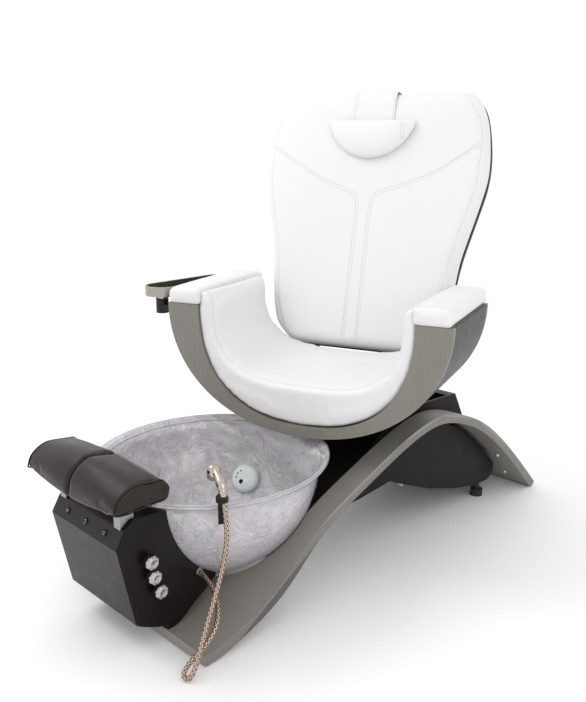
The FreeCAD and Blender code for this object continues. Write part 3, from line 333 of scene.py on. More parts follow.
def shades(colour, spread):
    """Stops from a darker to a lighter tone of one colour."""
    return [(0.3, [c * (1 - spread) for c in colour]), (0.7, [min(1.0, c * (1 + spread)) for c in colour])]


def bumped(tree, shader, height, strength, distance):
    made = add(tree, "ShaderNodeBump", {"Height": height, "Strength": strength, "Distance": distance})
    tree.links.new(made.outputs["Normal"], shader.inputs["Normal"])


def leather(name, colour, rough, spread=0.03, grain=620.0, strength=0.25, gloss_level=0.5):
    made, tree, shader = surface(name, Specular_IOR_Level=gloss_level)
    here = placed(tree)
    tone = ramp(tree, noise(tree, here, 5.0), shades(colour, spread))
    tree.links.new(tone, shader.inputs["Base Color"])
    pores = add(tree, "ShaderNodeTexVoronoi", {"Vector": here, "Scale": grain}, feature="SMOOTH_F1")
    folds = noise(tree, here, 38.0, 6.0)
    height = add(tree, "ShaderNodeMath", {0: pores.outputs["Distance"], 1: folds}, operation="ADD")
    bumped(tree, shader, height.outputs[0], strength, 0.0006)
    gloss = ramp(tree, noise(tree, here, 16.0), [(0.3, rough - 0.05), (0.7, rough + 0.07)])
    tree.links.new(gloss, shader.inputs["Roughness"])
    return made


def brushed(name, colour, stretch, rough=0.42, metal=0.0, spread=0.16, strength=0.12, coat=0.0):
    """A surface with fine streaks, long where stretch is small."""
    made, tree, shader = surface(name, Metallic=metal, Coat_Weight=coat, Coat_Roughness=0.3)
    streaks = noise(tree, placed(tree, stretch), 1.0, 7.0, 0.7)
    cloud = noise(tree, placed(tree), 7.0, 3.0)
    mixed = add(tree, "ShaderNodeMath", {0: streaks, 1: 0.75}, operation="MULTIPLY")
    both = add(tree, "ShaderNodeMath", {0: cloud, 1: 0.25, 2: mixed.outputs[0]}, operation="MULTIPLY_ADD")
    tree.links.new(ramp(tree, both.outputs[0], shades(colour, spread)), shader.inputs["Base Color"])
    tree.links.new(ramp(tree, streaks, [(0.3, rough - 0.06), (0.7, rough + 0.08)]),
                   shader.inputs["Roughness"])
    bumped(tree, shader, streaks, strength, 0.0003)
    return made


def moulded(name, colour, rough, metal=0.0, spread=0.06, grain=900.0, strength=0.06, coat=0.0,
            gloss_level=0.5):
    """Plastic, rubber, paint or cast metal with a fine texture and slight wear in its gloss."""
    made, tree, shader = surface(name, Metallic=metal, Coat_Weight=coat, Coat_Roughness=0.12,
                                 Specular_IOR_Level=gloss_level)
    here = placed(tree)
    tree.links.new(ramp(tree, noise(tree, here, 9.0), shades(colour, spread)), shader.inputs["Base Color"])
    gloss = [(0.3, max(0.03, rough - 0.04)), (0.7, rough + 0.05)]
    tree.links.new(ramp(tree, noise(tree, here, 26.0, 6.0), gloss),
                   shader.inputs["Roughness"])
    bumped(tree, shader, noise(tree, here, grain, 2.0), strength, 0.0002)
    return made


def laminated_board():
    """Grey laminate above and below, thin plies on the sawn edges."""
    made = brushed("board_laminate", BOARD_GREY, (420, 14, 420), 0.46)
    tree = made.node_tree
    shader = tree.nodes["Principled BSDF"]
    face = shader.inputs["Base Color"].links[0].from_socket
    depth = add(tree, "ShaderNodeAttribute", attribute_name="depth").outputs["Fac"]
    plies = add(tree, "ShaderNodeMath", {0: depth, 1: 7.0}, operation="MULTIPLY")
    part = add(tree, "ShaderNodeMath", {0: plies.outputs[0]}, operation="FRACT")
    edge = ramp(tree, part.outputs[0], [(0.0, (0.075, 0.07, 0.064)), (0.42, (0.10, 0.095, 0.087)),
                                        (0.55, (0.30, 0.285, 0.26)), (0.95, (0.21, 0.20, 0.18))])
    normal = add(tree, "ShaderNodeTexCoord").outputs["Normal"]
    across = add(tree, "ShaderNodeSeparateXYZ", {0: normal}).outputs["X"]
    size = add(tree, "ShaderNodeMath", {0: across}, operation="ABSOLUTE")
    side = add(tree, "ShaderNodeMath", {0: size.outputs[0], 1: 0.75}, operation="GREATER_THAN")
    mix = add(tree, "ShaderNodeMix", {0: side.outputs[0], 6: face, 7: edge}, data_type="RGBA")
    tree.links.new(mix.outputs[2], shader.inputs["Base Color"])
    return made


def pearl_glass():
    """Pearly moulded resin: drifting pastel patches, a crumpled, foil-like gloss, and painted shade in the
    crumple's hollows.
    """
    made, tree, shader = surface("bowl_glass", Metallic=0.18, Transmission_Weight=0.30, IOR=1.47,
                                 Coat_Weight=1.0, Coat_Roughness=0.03)
    shader.inputs["Thin Film Thickness"].default_value = 420.0
    shader.inputs["Thin Film IOR"].default_value = 1.38
    here = placed(tree)
    drift = noise(tree, here, 5.5, 4.0, 0.6, 1.6)
    stops = [(0.26, (0.74, 0.79, 0.88)), (0.37, (0.84, 0.81, 0.89)), (0.46, (0.90, 0.82, 0.89)),
             (0.53, (0.90, 0.88, 0.92)), (0.62, (0.84, 0.87, 0.79)), (0.74, (0.91, 0.85, 0.88))]
    crumple = noise(tree, here, 21.0, 8.0, 0.62, 3.0)
    # Base colour multiplied down where the crumple is low: painted shade in the hollows of the bump, full colour
    # on its crowns.
    foil_shading = ramp(tree, crumple, [(0.30, 0.72), (0.52, 0.96), (0.72, 1.0)])
    tinted = add(tree, "ShaderNodeMix", {0: 0.38, 6: ramp(tree, drift, stops), 7: foil_shading},
                 data_type="RGBA", blend_type="MULTIPLY")
    tree.links.new(tinted.outputs[2], shader.inputs["Base Color"])
    bumped(tree, shader, crumple, 0.9, 0.016)
    tree.links.new(ramp(tree, noise(tree, here, 11.0), [(0.3, 0.08), (0.7, 0.24)]),
                   shader.inputs["Roughness"])
    return made


def braid():
    """Woven metal sheath: two crossing sets of diagonal strands, with painted shade between them and painted
    highlight on their crowns.
    """
    made, tree, shader = surface("hose_braid", Metallic=0.9)
    heights = []
    for lean in (0.62, -0.62):
        where = placed(tree, (0.0377, 1, 1), (0, 0, lean), "UV")
        wave = add(tree, "ShaderNodeTexWave", {"Vector": where, "Scale": 46.0}, wave_profile="SIN")
        heights.append(wave.outputs["Fac"])
    weave = add(tree, "ShaderNodeMath", {0: heights[0], 1: heights[1]}, operation="MAXIMUM")
    bumped(tree, shader, weave.outputs[0], 0.9, 0.0012)
    # Colour from the weave's height: painted shade, near black, between the strands and painted highlight on the
    # strand crowns.
    tree.links.new(ramp(tree, weave.outputs[0], [(0.45, (0.045, 0.026, 0.018)), (0.97, (0.66, 0.49, 0.39))]),
                   shader.inputs["Base Color"])
    tree.links.new(ramp(tree, weave.outputs[0], [(0.2, 0.5), (0.9, 0.24)]), shader.inputs["Roughness"])
    return made


LAMINATE = (0.200, 0.190, 0.168)
BOARD_GREY = (0.245, 0.232, 0.208)
WHITE = (0.745, 0.737, 0.743)
BROWN = (0.0175, 0.0115, 0.0095)
BLACK = (0.0062, 0.0052, 0.0050)
MATERIALS = {
    "board_laminate": laminated_board(),
    "floor_rubber": moulded("floor_rubber", (0.02, 0.02, 0.02), 0.8, strength=0.2),
    "screw_steel": brushed("screw_steel", (0.55, 0.55, 0.56), (300, 300, 60), 0.3, 1.0, 0.08),
    "bowl_glass": pearl_glass(),
    "drain_chrome": moulded("drain_chrome", (0.78, 0.78, 0.79), 0.10, 1.0, 0.02),
    "pump_plastic": moulded("pump_plastic", (0.035, 0.035, 0.038), 0.5),
    "jet_plastic": moulded("jet_plastic", (0.66, 0.72, 0.70), 0.2, 0.0, 0.04, coat=0.6),
    "console_black": moulded("console_black", (0.0085, 0.0062, 0.0054), 0.30, 0.0, 0.2, gloss_level=0.16),
    "panel_grey": moulded("panel_grey", (0.020, 0.017, 0.016), 0.34, gloss_level=0.2),
    "button_grey": moulded("button_grey", (0.016, 0.014, 0.013), 0.38, gloss_level=0.2),
    "circuit_green": moulded("circuit_green", (0.02, 0.13, 0.05), 0.5, 0.0, 0.3, 300.0),
    "valve_brass": brushed("valve_brass", (0.62, 0.44, 0.18), (200, 40, 200), 0.32, 1.0, 0.1),
    "tap_chrome": moulded("tap_chrome", (0.42, 0.41, 0.41), 0.10, 1.0, 0.06),
    "hose_braid": braid(),
    "hose_chrome": moulded("hose_chrome", (0.47, 0.41, 0.36), 0.14, 1.0, 0.3),
    "clip_black": moulded("clip_black", (0.008, 0.007, 0.007), 0.4, gloss_level=0.2),
    "post_grey": brushed("post_grey", (0.32, 0.32, 0.31), (260, 260, 30), 0.36, 0.6, 0.1),
    "steel_black": moulded("steel_black", (0.014, 0.014, 0.015), 0.45, 0.0, gloss_level=0.25),
    "plywood": brushed("plywood", (0.36, 0.24, 0.13), (30, 300, 300), 0.6, 0.0, 0.25),
    "footrest_leather": leather("footrest_leather", BROWN, 0.36, 0.2, 560.0, 0.2, 0.26),
    "housing_black": moulded("housing_black", BLACK, 0.40, 0.0, 0.2, 700.0, 0.1, gloss_level=0.12),
    "bright_steel": brushed("bright_steel", (0.6, 0.6, 0.61), (300, 40, 300), 0.28, 1.0, 0.06),
    "seat_laminate": brushed("seat_laminate", LAMINATE, (420, 420, 14), 0.46),
    "shell_grey": moulded("shell_grey", (0.027, 0.027, 0.025), 0.42, 0.0, 0.12, gloss_level=0.2),
    "pan_grey": moulded("pan_grey", (0.14, 0.14, 0.14), 0.55),
    "white_leather": leather("white_leather", WHITE, 0.5, 0.012, 700.0, 0.14),
    "tray_silver": brushed("tray_silver", (0.40, 0.37, 0.33), (160, 160, 500), 0.26, 1.0, 0.14),
    "tray_dark": moulded("tray_dark", (0.012, 0.008, 0.007), 0.26, 0.0, 0.2, gloss_level=0.2),
    "bracket_dark": moulded("bracket_dark", (0.010, 0.008, 0.008), 0.3, gloss_level=0.3),
    "rim_glass": moulded("rim_glass", (0.30, 0.34, 0.33), 0.08, 0.2, 0.2, 60.0, coat=1.0),
    "thread": leather("thread", (0.50, 0.49, 0.49), 0.7, 0.05, 2000.0, 0.1),
    "icon": moulded("icon", (0.50, 0.43, 0.40), 0.4),
}

NODE_BODY = {node: body for body, nodes in frame["record"]["behaviour"]["bodies"].items() for node in nodes}
NODE_SLOT = {part["node"]: part["material_slot"] for part in frame["record"]["subparts"]}
for node, obj in frame["nodes"].items():
    obj.data.materials.clear()
    obj.data.materials.append(MATERIALS[NODE_SLOT[node]])


def dressed(piece, body, material, replaces=()):
    """Material, body and slot of a finished piece, and the CAD nodes that it stands for."""
    piece.data.materials.clear()
    piece.data.materials.append(material)
    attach(piece, body)
    if replaces:
        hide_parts(*replaces)
    return piece


def stands_for(piece, node):
    return dressed(piece, NODE_BODY[node], MATERIALS[NODE_SLOT[node]], (node,))


def softened(node, width, segments=3, angle=32.0):
    """A copy of a CAD node with its sharp edges rounded, which stands for it."""
    mesh = frame["nodes"][node].data.copy()
    work = bmesh.new()
    work.from_mesh(mesh)
    bmesh.ops.remove_doubles(work, verts=work.verts, dist=2e-6)
    bmesh.ops.dissolve_limit(work, angle_limit=math.radians(0.4), verts=work.verts, edges=work.edges)
    work.to_mesh(mesh)
    work.free()
    if mesh.has_custom_normals:
        mesh.attributes.remove(mesh.attributes["custom_normal"])
    piece = bpy.data.objects.new(node + "_finished", mesh)
    scene.collection.objects.link(piece)
    mesh.shade_smooth()
    bevel = piece.modifiers.new("bevel", "BEVEL")
    bevel.width = width
    bevel.segments = segments
    bevel.limit_method = "ANGLE"
    bevel.angle_limit = math.radians(angle)
    bevel.harden_normals = True
    return stands_for(piece, node)


# ------------------------------------------------------------------ hose and sprayer
HOSE_DIAMETER = 0.012
OUTLET = (0.162, 0.066, 0.160)
HOSE_ROUTE = [OUTLET, (0.202, 0.062, 0.151), (0.239, 0.051, 0.136), (0.274, 0.031, 0.118),
              (0.298, 0.004, 0.096), (0.303, -0.026, 0.072), (0.298, -0.052, 0.050), (0.289, -0.074, 0.030),
              (0.288, -0.089, 0.0142), (0.2962, -0.0945, 0.008), (0.3078, -0.0945, 0.008),
              (0.316, -0.089, 0.0142), (0.316, -0.076, 0.032), (0.311, -0.057, 0.066),
              (0.305, -0.032, 0.116), (0.303, -0.004, 0.177), (0.303, 0.023, 0.246), (0.301, 0.040, 0.308),
              (0.297, 0.042, 0.352), (0.292, 0.042, 0.388), (0.287, 0.043, 0.418)]


def nurbs_points(route, resolution=8):
    """Points on the smooth line that a route's NURBS spline makes."""
    data = bpy.data.curves.new("route", "CURVE")
    data.dimensions = "3D"
    data.resolution_u = resolution
    spline = data.splines.new("NURBS")
    spline.points.add(len(route) - 1)
    for point, place in zip(spline.points, route):
        point.co = (*place, 1.0)
    spline.order_u = 3
    spline.use_endpoint_u = True
    holder = bpy.data.objects.new("route", data)
    mesh = bpy.data.meshes.new_from_object(holder)
    points = [v.co.copy() for v in mesh.vertices]
    bpy.data.objects.remove(holder)
    bpy.data.curves.remove(data)
    bpy.data.meshes.remove(mesh)
    return points


hose_path = nurbs_points(HOSE_ROUTE)
hose = tube("shower_hose", hose_path, HOSE_DIAMETER / 2, 18, uv=True)
stands_for(hose, "hose")

HANDLE_FOOT = Vector((0.287, 0.043, 0.418))
HANDLE_NECK = Vector((0.268, 0.050, 0.446))
HEAD_BALL = Vector((0.232, 0.060, 0.459))
NOZZLE_WAY = Vector((-0.42, 0.10, -0.90)).normalized()
handle_line = spaced(through([HANDLE_FOOT, HANDLE_FOOT.lerp(HANDLE_NECK, 0.5) + Vector((0.001, 0, 0.004)),
                              HANDLE_NECK, HEAD_BALL.lerp(HANDLE_NECK, 0.45) + Vector((0, 0, 0.004)),
                              HEAD_BALL]), 40)
handle_radii = []
for step in range(40):
    share = step / 39
    girth = 0.0085 + 0.0045 * math.sin(math.pi * min(1.0, share * 1.3)) ** 2
    if 0.80 < share:
        girth += 0.0045 * math.sin((share - 0.80) / 0.20 * math.pi / 2)
    if 0.03 < share < 0.16:
        girth += 0.0012 * (1 if step % 2 else 0.2)
    handle_radii.append(girth)
handle = tube("sprayer_handle", handle_line, handle_radii, 28)
dressed(handle, "base", MATERIALS["hose_chrome"], ("spray_handle",))
head = turned("sprayer_head", [(0.006, -0.0165), (0.0125, -0.0125), (0.0168, -0.004), (0.0172, 0.004),
                               (0.0152, 0.011), (0.0142, 0.016), (0.0142, 0.0195), (0.0128, 0.0205),
                               (0.0118, 0.0190), (0.0040, 0.0185)],
              frame_along(HEAD_BALL, NOZZLE_WAY), 48)
dressed(head, "base", MATERIALS["hose_chrome"])
ferrule_way = (HANDLE_FOOT - Vector(HOSE_ROUTE[-2])).normalized()
ferrule = turned("hose_ferrule", [(0.0064, -0.014), (0.0076, -0.013), (0.0080, -0.008), (0.0074, -0.0065),
                                  (0.0084, -0.005), (0.0088, 0.001), (0.0080, 0.003)],
                 frame_along(HANDLE_FOOT, ferrule_way), 32)
dressed(ferrule, "base", MATERIALS["hose_chrome"])

# ------------------------------------------------------------------ frames of the seat and the back
swivel_low, swivel_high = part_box("swivel_pivot")
SWIVEL_Y = (swivel_low.y + swivel_high.y) / 2
SEAT = Matrix.Translation((0, SWIVEL_Y, 0)) @ Matrix.Rotation(math.radians(20), 4, "Z")
BACK_START = 0.046
BACK_FOOT = 0.596
BACK_LEAN = math.radians(15.25)
BACK = SEAT @ Matrix.Translation((0, BACK_START, BACK_FOOT)) @ Matrix.Rotation(-BACK_LEAN, 4, "X")
SEAT_TOP = 0.763
SEAT_FRONT = -0.318


def cos_power(turn, power):
    c = math.cos(turn)
    return math.copysign(abs(c) ** (2 / power), c)


def arch_line(half, drop, power, steps=120):
    """Superellipse from the right rim down and up to the left rim, as (x, z)."""
    return [Vector((half * cos_power(t, power), 0, SEAT_TOP - drop * abs(math.sin(t)) ** (2 / power)))
            for t in (math.pi * k / steps for k in range(steps + 1))]


# ------------------------------------------------------------------ seat cushion
SECTION = 90


def mirrored_line(right, middle):
    """A line's right shoulder, its middle, and the shoulder again on the left."""
    left = [Vector((-p.x, 0, p.z)) for p in reversed(right)]
    return spaced([*right, *middle, *left], SECTION)


def cushion_section(inset, share=0.0):
    """Inner and outer lines of the U, shallower towards the back."""
    shoulder = [Vector((0.3213 - inset, 0, 0.8065 - inset)), Vector((0.312, 0, 0.8068 - inset)),
                Vector((0.302 + inset, 0, 0.8045 - inset)), Vector((0.2945 + inset, 0, 0.797 - inset)),
                Vector((0.2900 + inset, 0, 0.783))]
    inner = mirrored_line(shoulder, arch_line(0.288 + inset, 0.215 + inset - 0.041 * share, 3.0))
    rim = [Vector((0.3213 - inset, 0, 0.800 - inset)), Vector((0.3213 - inset, 0, 0.775))]
    outer = mirrored_line(rim, arch_line(0.3272 - inset, 0.3242 - inset, 2.4))
    return inner, outer


def back_limit(z):
    """How far back the cushion reaches at a height."""
    return min(BACK_START, BACK_START + (z - BACK_FOOT) * math.tan(BACK_LEAN)) - 0.003


rings = []
EDGE = 0.008
stations = [(EDGE * (1 - math.cos(a)), EDGE * (1 - math.sin(a)))
            for a in (math.pi / 2 * k / 5 for k in range(6))]
stations += [(0.02 + 0.32 * k / 14, 0.0) for k in range(15)]
last = stations[-1][0]
for along_y, inset in stations:
    inner, outer = cushion_section(inset, along_y / last)
    ring = []
    for p in inner + list(reversed(outer)):
        deep = back_limit(p.z)
        share = along_y / last
        ring.append(SEAT @ Vector((p.x, SEAT_FRONT + share * (deep - SEAT_FRONT), p.z)))
    rings.append(ring)
points, faces = skin(rings)
for start in (0, len(points) - 2 * SECTION):
    for i in range(SECTION - 1):
        faces.append((start + i, start + i + 1, start + 2 * SECTION - 2 - i, start + 2 * SECTION - 1 - i))
seat_cushion = mesh_piece("seat_leather", points, faces)
puffed(seat_cushion, 0.004, LARGE_VOXEL, 3.0)
SEAM_BACK = 0.024
inner_line = cushion_section(0.0)[0]
seat_seam = [SEAT @ Vector((p.x, SEAT_FRONT + SEAM_BACK, p.z)) for p in inner_line]
sewn(seat_cushion, [seat_seam], 0.0028, 0.0016)
stands_for(seat_cushion, "seat_cushion")
stitched("seat_stitching", seat_cushion, [seat_seam], (0.0042,), "seat")


# ------------------------------------------------------------------ arm pads
def pad_outline(low_x, high_x, low_z, high_z, near, far, per=7):
    """Rounded box section with its own radius at the inner and the outer top edge."""
    corners = [(low_x, low_z, 0.005, 180), (high_x, low_z, 0.007, 270),
               (high_x, high_z, far, 0), (low_x, high_z, near, 90)]
    out = []
    for x, z, r, turn in corners:
        cx = x + r if x == low_x else x - r
        cz = z + r if z == low_z else z - r
        out += [Vector((cx + r * math.cos(math.radians(turn + 90 * k / per)), 0,
                        cz + r * math.sin(math.radians(turn + 90 * k / per)))) for k in range(per + 1)]
    return spaced(out + [out[0]], 65)[:-1]


PAD_FRONT = -0.329
PAD_INNER, PAD_OUTER = 0.3219, 0.4258
PAD_BOTTOM, PAD_TOP = 0.7635, 0.8092
for side, name in ((-1, "arm_pad_right"), (1, "arm_pad_left")):
    rings = []
    for k in range(35):
        if k < 6:
            turn = math.pi / 2 * k / 5
            inset, y = 0.007 * (1 - math.sin(turn)), 0.007 * (1 - math.cos(turn))
        elif k > 28:
            turn = math.pi / 2 * (34 - k) / 5
            inset, y = 0.012 * (1 - math.sin(turn)), 0.408 - 0.012 * (1 - math.cos(turn))
        else:
            inset, y = 0.0, 0.007 + 0.389 * (k - 5) / 24
        crown = 0.003 * math.sin(math.pi * min(1.0, max(0.0, y / 0.408)))
        outline = pad_outline(PAD_INNER + inset * 0.3, PAD_OUTER - inset, PAD_BOTTOM + inset,
                              PAD_TOP + crown - inset, 0.003, 0.018)
        rings.append([SEAT @ Vector((side * p.x, PAD_FRONT + y, p.z)) for p in outline])
    pad = capped(name + "_leather", rings)
    puffed(pad, 0.0022, 0.005, 3.0)
    seam = [SEAT @ Vector((side * (0.325 + 0.090 * k / 20), PAD_FRONT + SEAM_BACK + 0.009, 0.811))
            for k in range(21)]
    sewn(pad, [seam], 0.0026, 0.0013)
    stands_for(pad, name)
    stitched(name + "_stitching", pad, [seam], (-0.0042 * side,), "seat")

# ------------------------------------------------------------------ backrest
BACK_SIDE = [(0.205, -0.011), (0.245, 0.020), (0.280, 0.066), (0.304, 0.170), (0.317, 0.284), (0.335, 0.367),
             (0.355, 0.450), (0.373, 0.540), (0.375, 0.605), (0.367, 0.678), (0.355, 0.735), (0.330, 0.790),
             (0.295, 0.816)]
BACK_PAD = 0.085
right_side = through([(u, 0, v) for u, v in BACK_SIDE], 8)
left_side = [Vector((-p.x, 0, p.z)) for p in reversed(right_side)]
back_outline = spaced([*right_side, *left_side, right_side[0]], 241)[:-1]
back_middle = Vector((0, 0, 0.40))


def back_ring(depth, inset=0.0, share=1.0):
    """The back's outline in by a distance, then scaled about its middle, at a depth."""
    ring = []
    for p in back_outline:
        out = p - back_middle
        reach = (out.length - inset) * share
        q = back_middle + out.normalized() * reach
        ring.append(BACK @ Vector((q.x, depth, q.z)))
    return ring


rings = [back_ring(0.0045 - 0.007 * (1 - s * s), 0.026, s)
         for s in (0.03, 0.15, 0.3, 0.45, 0.6, 0.74, 0.86, 0.94)]
for k in range(9):
    a = math.pi / 2 * k / 8
    rings.append(back_ring(0.0045 + 0.030 * (1 - math.cos(a)), 0.026 * (1 - math.sin(a))))
rings += [back_ring(0.050), back_ring(0.066, 0.0008), back_ring(0.078, 0.004),
          back_ring(BACK_PAD - 0.0006, 0.012)]
rings += [back_ring(BACK_PAD - 0.0004, 0.012, s) for s in (0.8, 0.5, 0.2, 0.03)]
back_cushion = capped("back_leather", rings)
puffed(back_cushion, 0.004, LARGE_VOXEL, 3.0)


def on_back(u, z, out=-0.001):
    """A point on the back's front face from its place across and its height."""
    return BACK @ Vector((u, out, (z - BACK_FOOT) / math.cos(BACK_LEAN)))


def yoke(side, points, foot_z=0.594):
    upper = [on_back(side * u, z) for u, z in points]
    lower = [on_back(side * 0.0215, 0.95), on_back(side * 0.0225, 0.80), on_back(side * 0.0225, foot_z)]
    return through(upper + lower, 8)


SIDE_SEAM = [(0.300, 1.345), (0.331, 1.30), (0.346, 1.24), (0.347, 1.17), (0.340, 1.077), (0.313, 0.977),
             (0.295, 0.900), (0.280, 0.812), (0.268, 0.72), (0.240, 0.64)]
back_seams = [yoke(1, [(0.350, 1.221), (0.23, 1.139), (0.126, 1.094), (0.046, 1.069), (0.0235, 1.038)]),
              yoke(-1, [(0.350, 1.213), (0.17, 1.113), (0.062, 1.074), (0.026, 1.043)])]
side_seams = [through([on_back(side * u, z, 0.003) for u, z in SIDE_SEAM], 8) for side in (-1, 1)]
sewn(back_cushion, back_seams + side_seams, 0.0034, 0.0022)
stands_for(back_cushion, "backrest_cushion")
stitched("back_stitching", back_cushion, back_seams, (-0.0046, 0.0046), "backrest")
stitched("back_side_stitching", back_cushion, side_seams, (0.0044,), "backrest")

# ------------------------------------------------------------------ head pillow and strap
PILLOW_TOP, PILLOW_LOW, PILLOW_HALF = 0.722, 0.592, 0.150
rise = PILLOW_TOP - 0.012 - PILLOW_LOW
arc_radius = (PILLOW_HALF ** 2 + rise ** 2) / (2 * rise)
arc_half = math.asin(min(1.0, PILLOW_HALF / arc_radius))
pillow_line = [Vector((arc_radius * math.sin(a), 0, PILLOW_LOW + arc_radius * (1 - math.cos(a))))
               for a in (-arc_half + 2 * arc_half * k / 40 for k in range(41))]
pillow_line += [Vector((0.143, 0, 0.7185)), Vector((0.132, 0, PILLOW_TOP)), Vector((0.0, 0, PILLOW_TOP + 0.001)),
                Vector((-0.132, 0, PILLOW_TOP)), Vector((-0.143, 0, 0.7185)), pillow_line[0]]
pillow_outline = spaced(pillow_line, 121)[:-1]
pillow_middle = Vector((0, 0, 0.668))
rings = []
for k in range(13):
    share = 0.04 + 0.96 * k / 12
    depth = -0.010 - 0.029 * (1 - share ** 2.6) ** 0.62
    rings.append([BACK @ ((pillow_middle + (p - pillow_middle) * share) + Vector((0, depth, 0)))
                  for p in pillow_outline])
for k in range(6):
    share = 1.0 - 0.96 * (k + 1) / 6
    depth = -0.0012 - 0.004 * share
    rings.append([BACK @ ((pillow_middle + (p - pillow_middle) * share) + Vector((0, depth, 0)))
                  for p in pillow_outline])
pillow = capped("head_pillow_leather", rings)
puffed(pillow, 0.003, 0.004, 3.0)
pillow_seam = [BACK @ (p + Vector((0, -0.0085, 0))) for p in pillow_outline + [pillow_outline[0]]]
sewn(pillow, [pillow_seam], 0.0026, 0.0014)
pillow_edge = [BACK @ Vector((0.107 + 0.001 * k, -0.042, 0.715 - 0.009 * k)) for k in range(9)]
sewn(pillow, [pillow_edge], 0.0026, 0.0014)
stands_for(pillow, "head_pillow")
stitched("pillow_stitching", pillow, [pillow_edge], (-0.0040, 0.0040), "backrest")

STRAP_HALF = 0.068
STRAP_LINE = [(-0.0030, 0.690), (-0.0032, 0.740), (-0.0025, 0.785), (0.0040, 0.806), (0.0150, 0.8150),
              (0.0300, 0.8182), (0.0600, 0.8186), (0.0900, 0.8184), (0.1000, 0.8140), (0.1022, 0.8040),
              (0.1022, 0.7600), (0.1022, 0.7100)]
strap_run = through([(0, w, v) for w, v in STRAP_LINE], 6)
rings = []
for i, p in enumerate(strap_run):
    ahead = (strap_run[min(i + 1, len(strap_run) - 1)] - strap_run[max(i - 1, 0)]).normalized()
    out = Vector((0, -ahead.z, ahead.y))
    ring = []
    for k in range(28):
        a = 2 * math.pi * k / 28
        x = STRAP_HALF * math.copysign(abs(math.cos(a)) ** 0.25, math.cos(a))
        lift = 0.0012 * math.copysign(abs(math.sin(a)) ** 0.5, math.sin(a))
        ring.append(BACK @ (p + Vector((x, 0, 0)) + out * (lift + 0.0004)))
    rings.append(ring)
strap = capped("pillow_strap_leather", rings)
stands_for(strap, "pillow_strap")
strap_edges = [[BACK @ (p + Vector((side * (STRAP_HALF - 0.006), -0.002, 0))) for p in strap_run[:24]]
               for side in (-1, 1)]
stitched("strap_stitching", strap, strap_edges, (0.0,), "backrest")

# ------------------------------------------------------------------ footrest
PAD_END = [(-0.199, 0.419), (-0.191, 0.441), (-0.175, 0.457), (-0.152, 0.468), (-0.129, 0.470), (-0.083, 0.465),
           (-0.065, 0.462), (-0.050, 0.445), (-0.048, 0.435), (-0.057, 0.416), (-0.086, 0.414), (-0.127, 0.413),
           (-0.155, 0.411), (-0.183, 0.413)]
PAD_MIDDLE = (-0.124, 0.4375)
FOOT_HALF = 0.207
closed_end = through([Vector((0, y, z)) for y, z in PAD_END + PAD_END[:1]], 8)
end_outline = spaced(closed_end, 97)[:-1]


def foot_section(x, inset):
    """The near end's outline grown towards the split, in by a distance."""
    swell = 1 - (abs(x) / FOOT_HALF) ** 2
    ring = []
    for p in end_outline:
        dy, dz = p.y - PAD_MIDDLE[0], p.z - PAD_MIDDLE[1]
        lift = 0.5 if dz > 0 else 0.9
        out = Vector((0, dy * (1 + 0.06 * swell), dz * (1 + lift * swell)))
        out -= out.normalized() * min(inset, out.length * 0.6)
        ring.append(Vector((x, PAD_MIDDLE[0] + out.y, PAD_MIDDLE[1] + out.z)))
    return ring


for side, name in ((-1, "foot_pad_right"), (1, "foot_pad_left")):
    if (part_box(name)[0].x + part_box(name)[1].x) * side < 0:
        side = -side
    rings = []
    for k in range(7):
        a = math.pi / 2 * k / 6
        rings.append(foot_section(side * (0.0018 + 0.010 * (1 - math.cos(a))), 0.010 * (1 - math.sin(a))))
    rings += [foot_section(side * (0.0118 + 0.1852 * k / 18), 0.0) for k in range(1, 18)]
    for k in range(7):
        a = math.pi / 2 * k / 6
        rings.append(foot_section(side * (0.199 + 0.007 * math.sin(a)), 0.007 * (1 - math.cos(a))))
    foot_pad = capped(name + "_leather", rings)
    puffed(foot_pad, 0.0025, 0.005, 3.0)
    welt_line = foot_section(side * 0.1985, 0.0004)
    sewn(foot_pad, [welt_line + welt_line[:1]], 0.003, 0.0012)
    stands_for(foot_pad, name)
    welt = tube(name + "_welt", welt_line + welt_line[:2], 0.0019, 10)
    dressed(welt, "footrest", MATERIALS["footrest_leather"])

# ------------------------------------------------------------------ bowl
BOWL = Matrix.Translation((0, 0.236, 0.386)) @ Matrix.Rotation(math.radians(1.5), 4, "X")
OUTER_R, OUTER_D, INNER_R, INNER_D = 0.300, 0.320, 0.292, 0.312
RIM = [(0.299, -0.022), (0.313, -0.0125), (0.324, -0.005), (0.3262, -0.001), (0.3250, 0.003), (0.3200, 0.0042),
       (0.3110, -0.003), (0.302, -0.010), (0.291, -0.022)]
DRAIN_R = 0.022


def wall(radius, depth, low_first):
    steps = 40
    start = math.asin(DRAIN_R / radius)
    stop = math.asin(RIM[0 if low_first else -1][0] / radius * 0.9999) if radius > RIM[0][0] else \
        math.acos(0.022 / depth)
    line = [(radius * math.sin(a), -depth * math.cos(a))
            for a in (start + (stop - start) * k / steps for k in range(steps))]
    return line if low_first else list(reversed(line))


def moulding(x, y, z):
    """How far the inner wall stands in from the plain bowl: a step and a ridge at the rear."""
    turn = math.degrees(math.atan2(y, x))
    if z < -0.25 or z > -0.02 or turn < 20:
        return 0.0
    lobe = math.exp(-((turn - 72) / 34) ** 2) * math.exp(-((z + 0.085) / 0.050) ** 2) * 0.024
    ridge = math.exp(-((turn - 128) / 5) ** 2) * math.exp(-((z + 0.10) / 0.085) ** 2) * 0.016
    return lobe + ridge


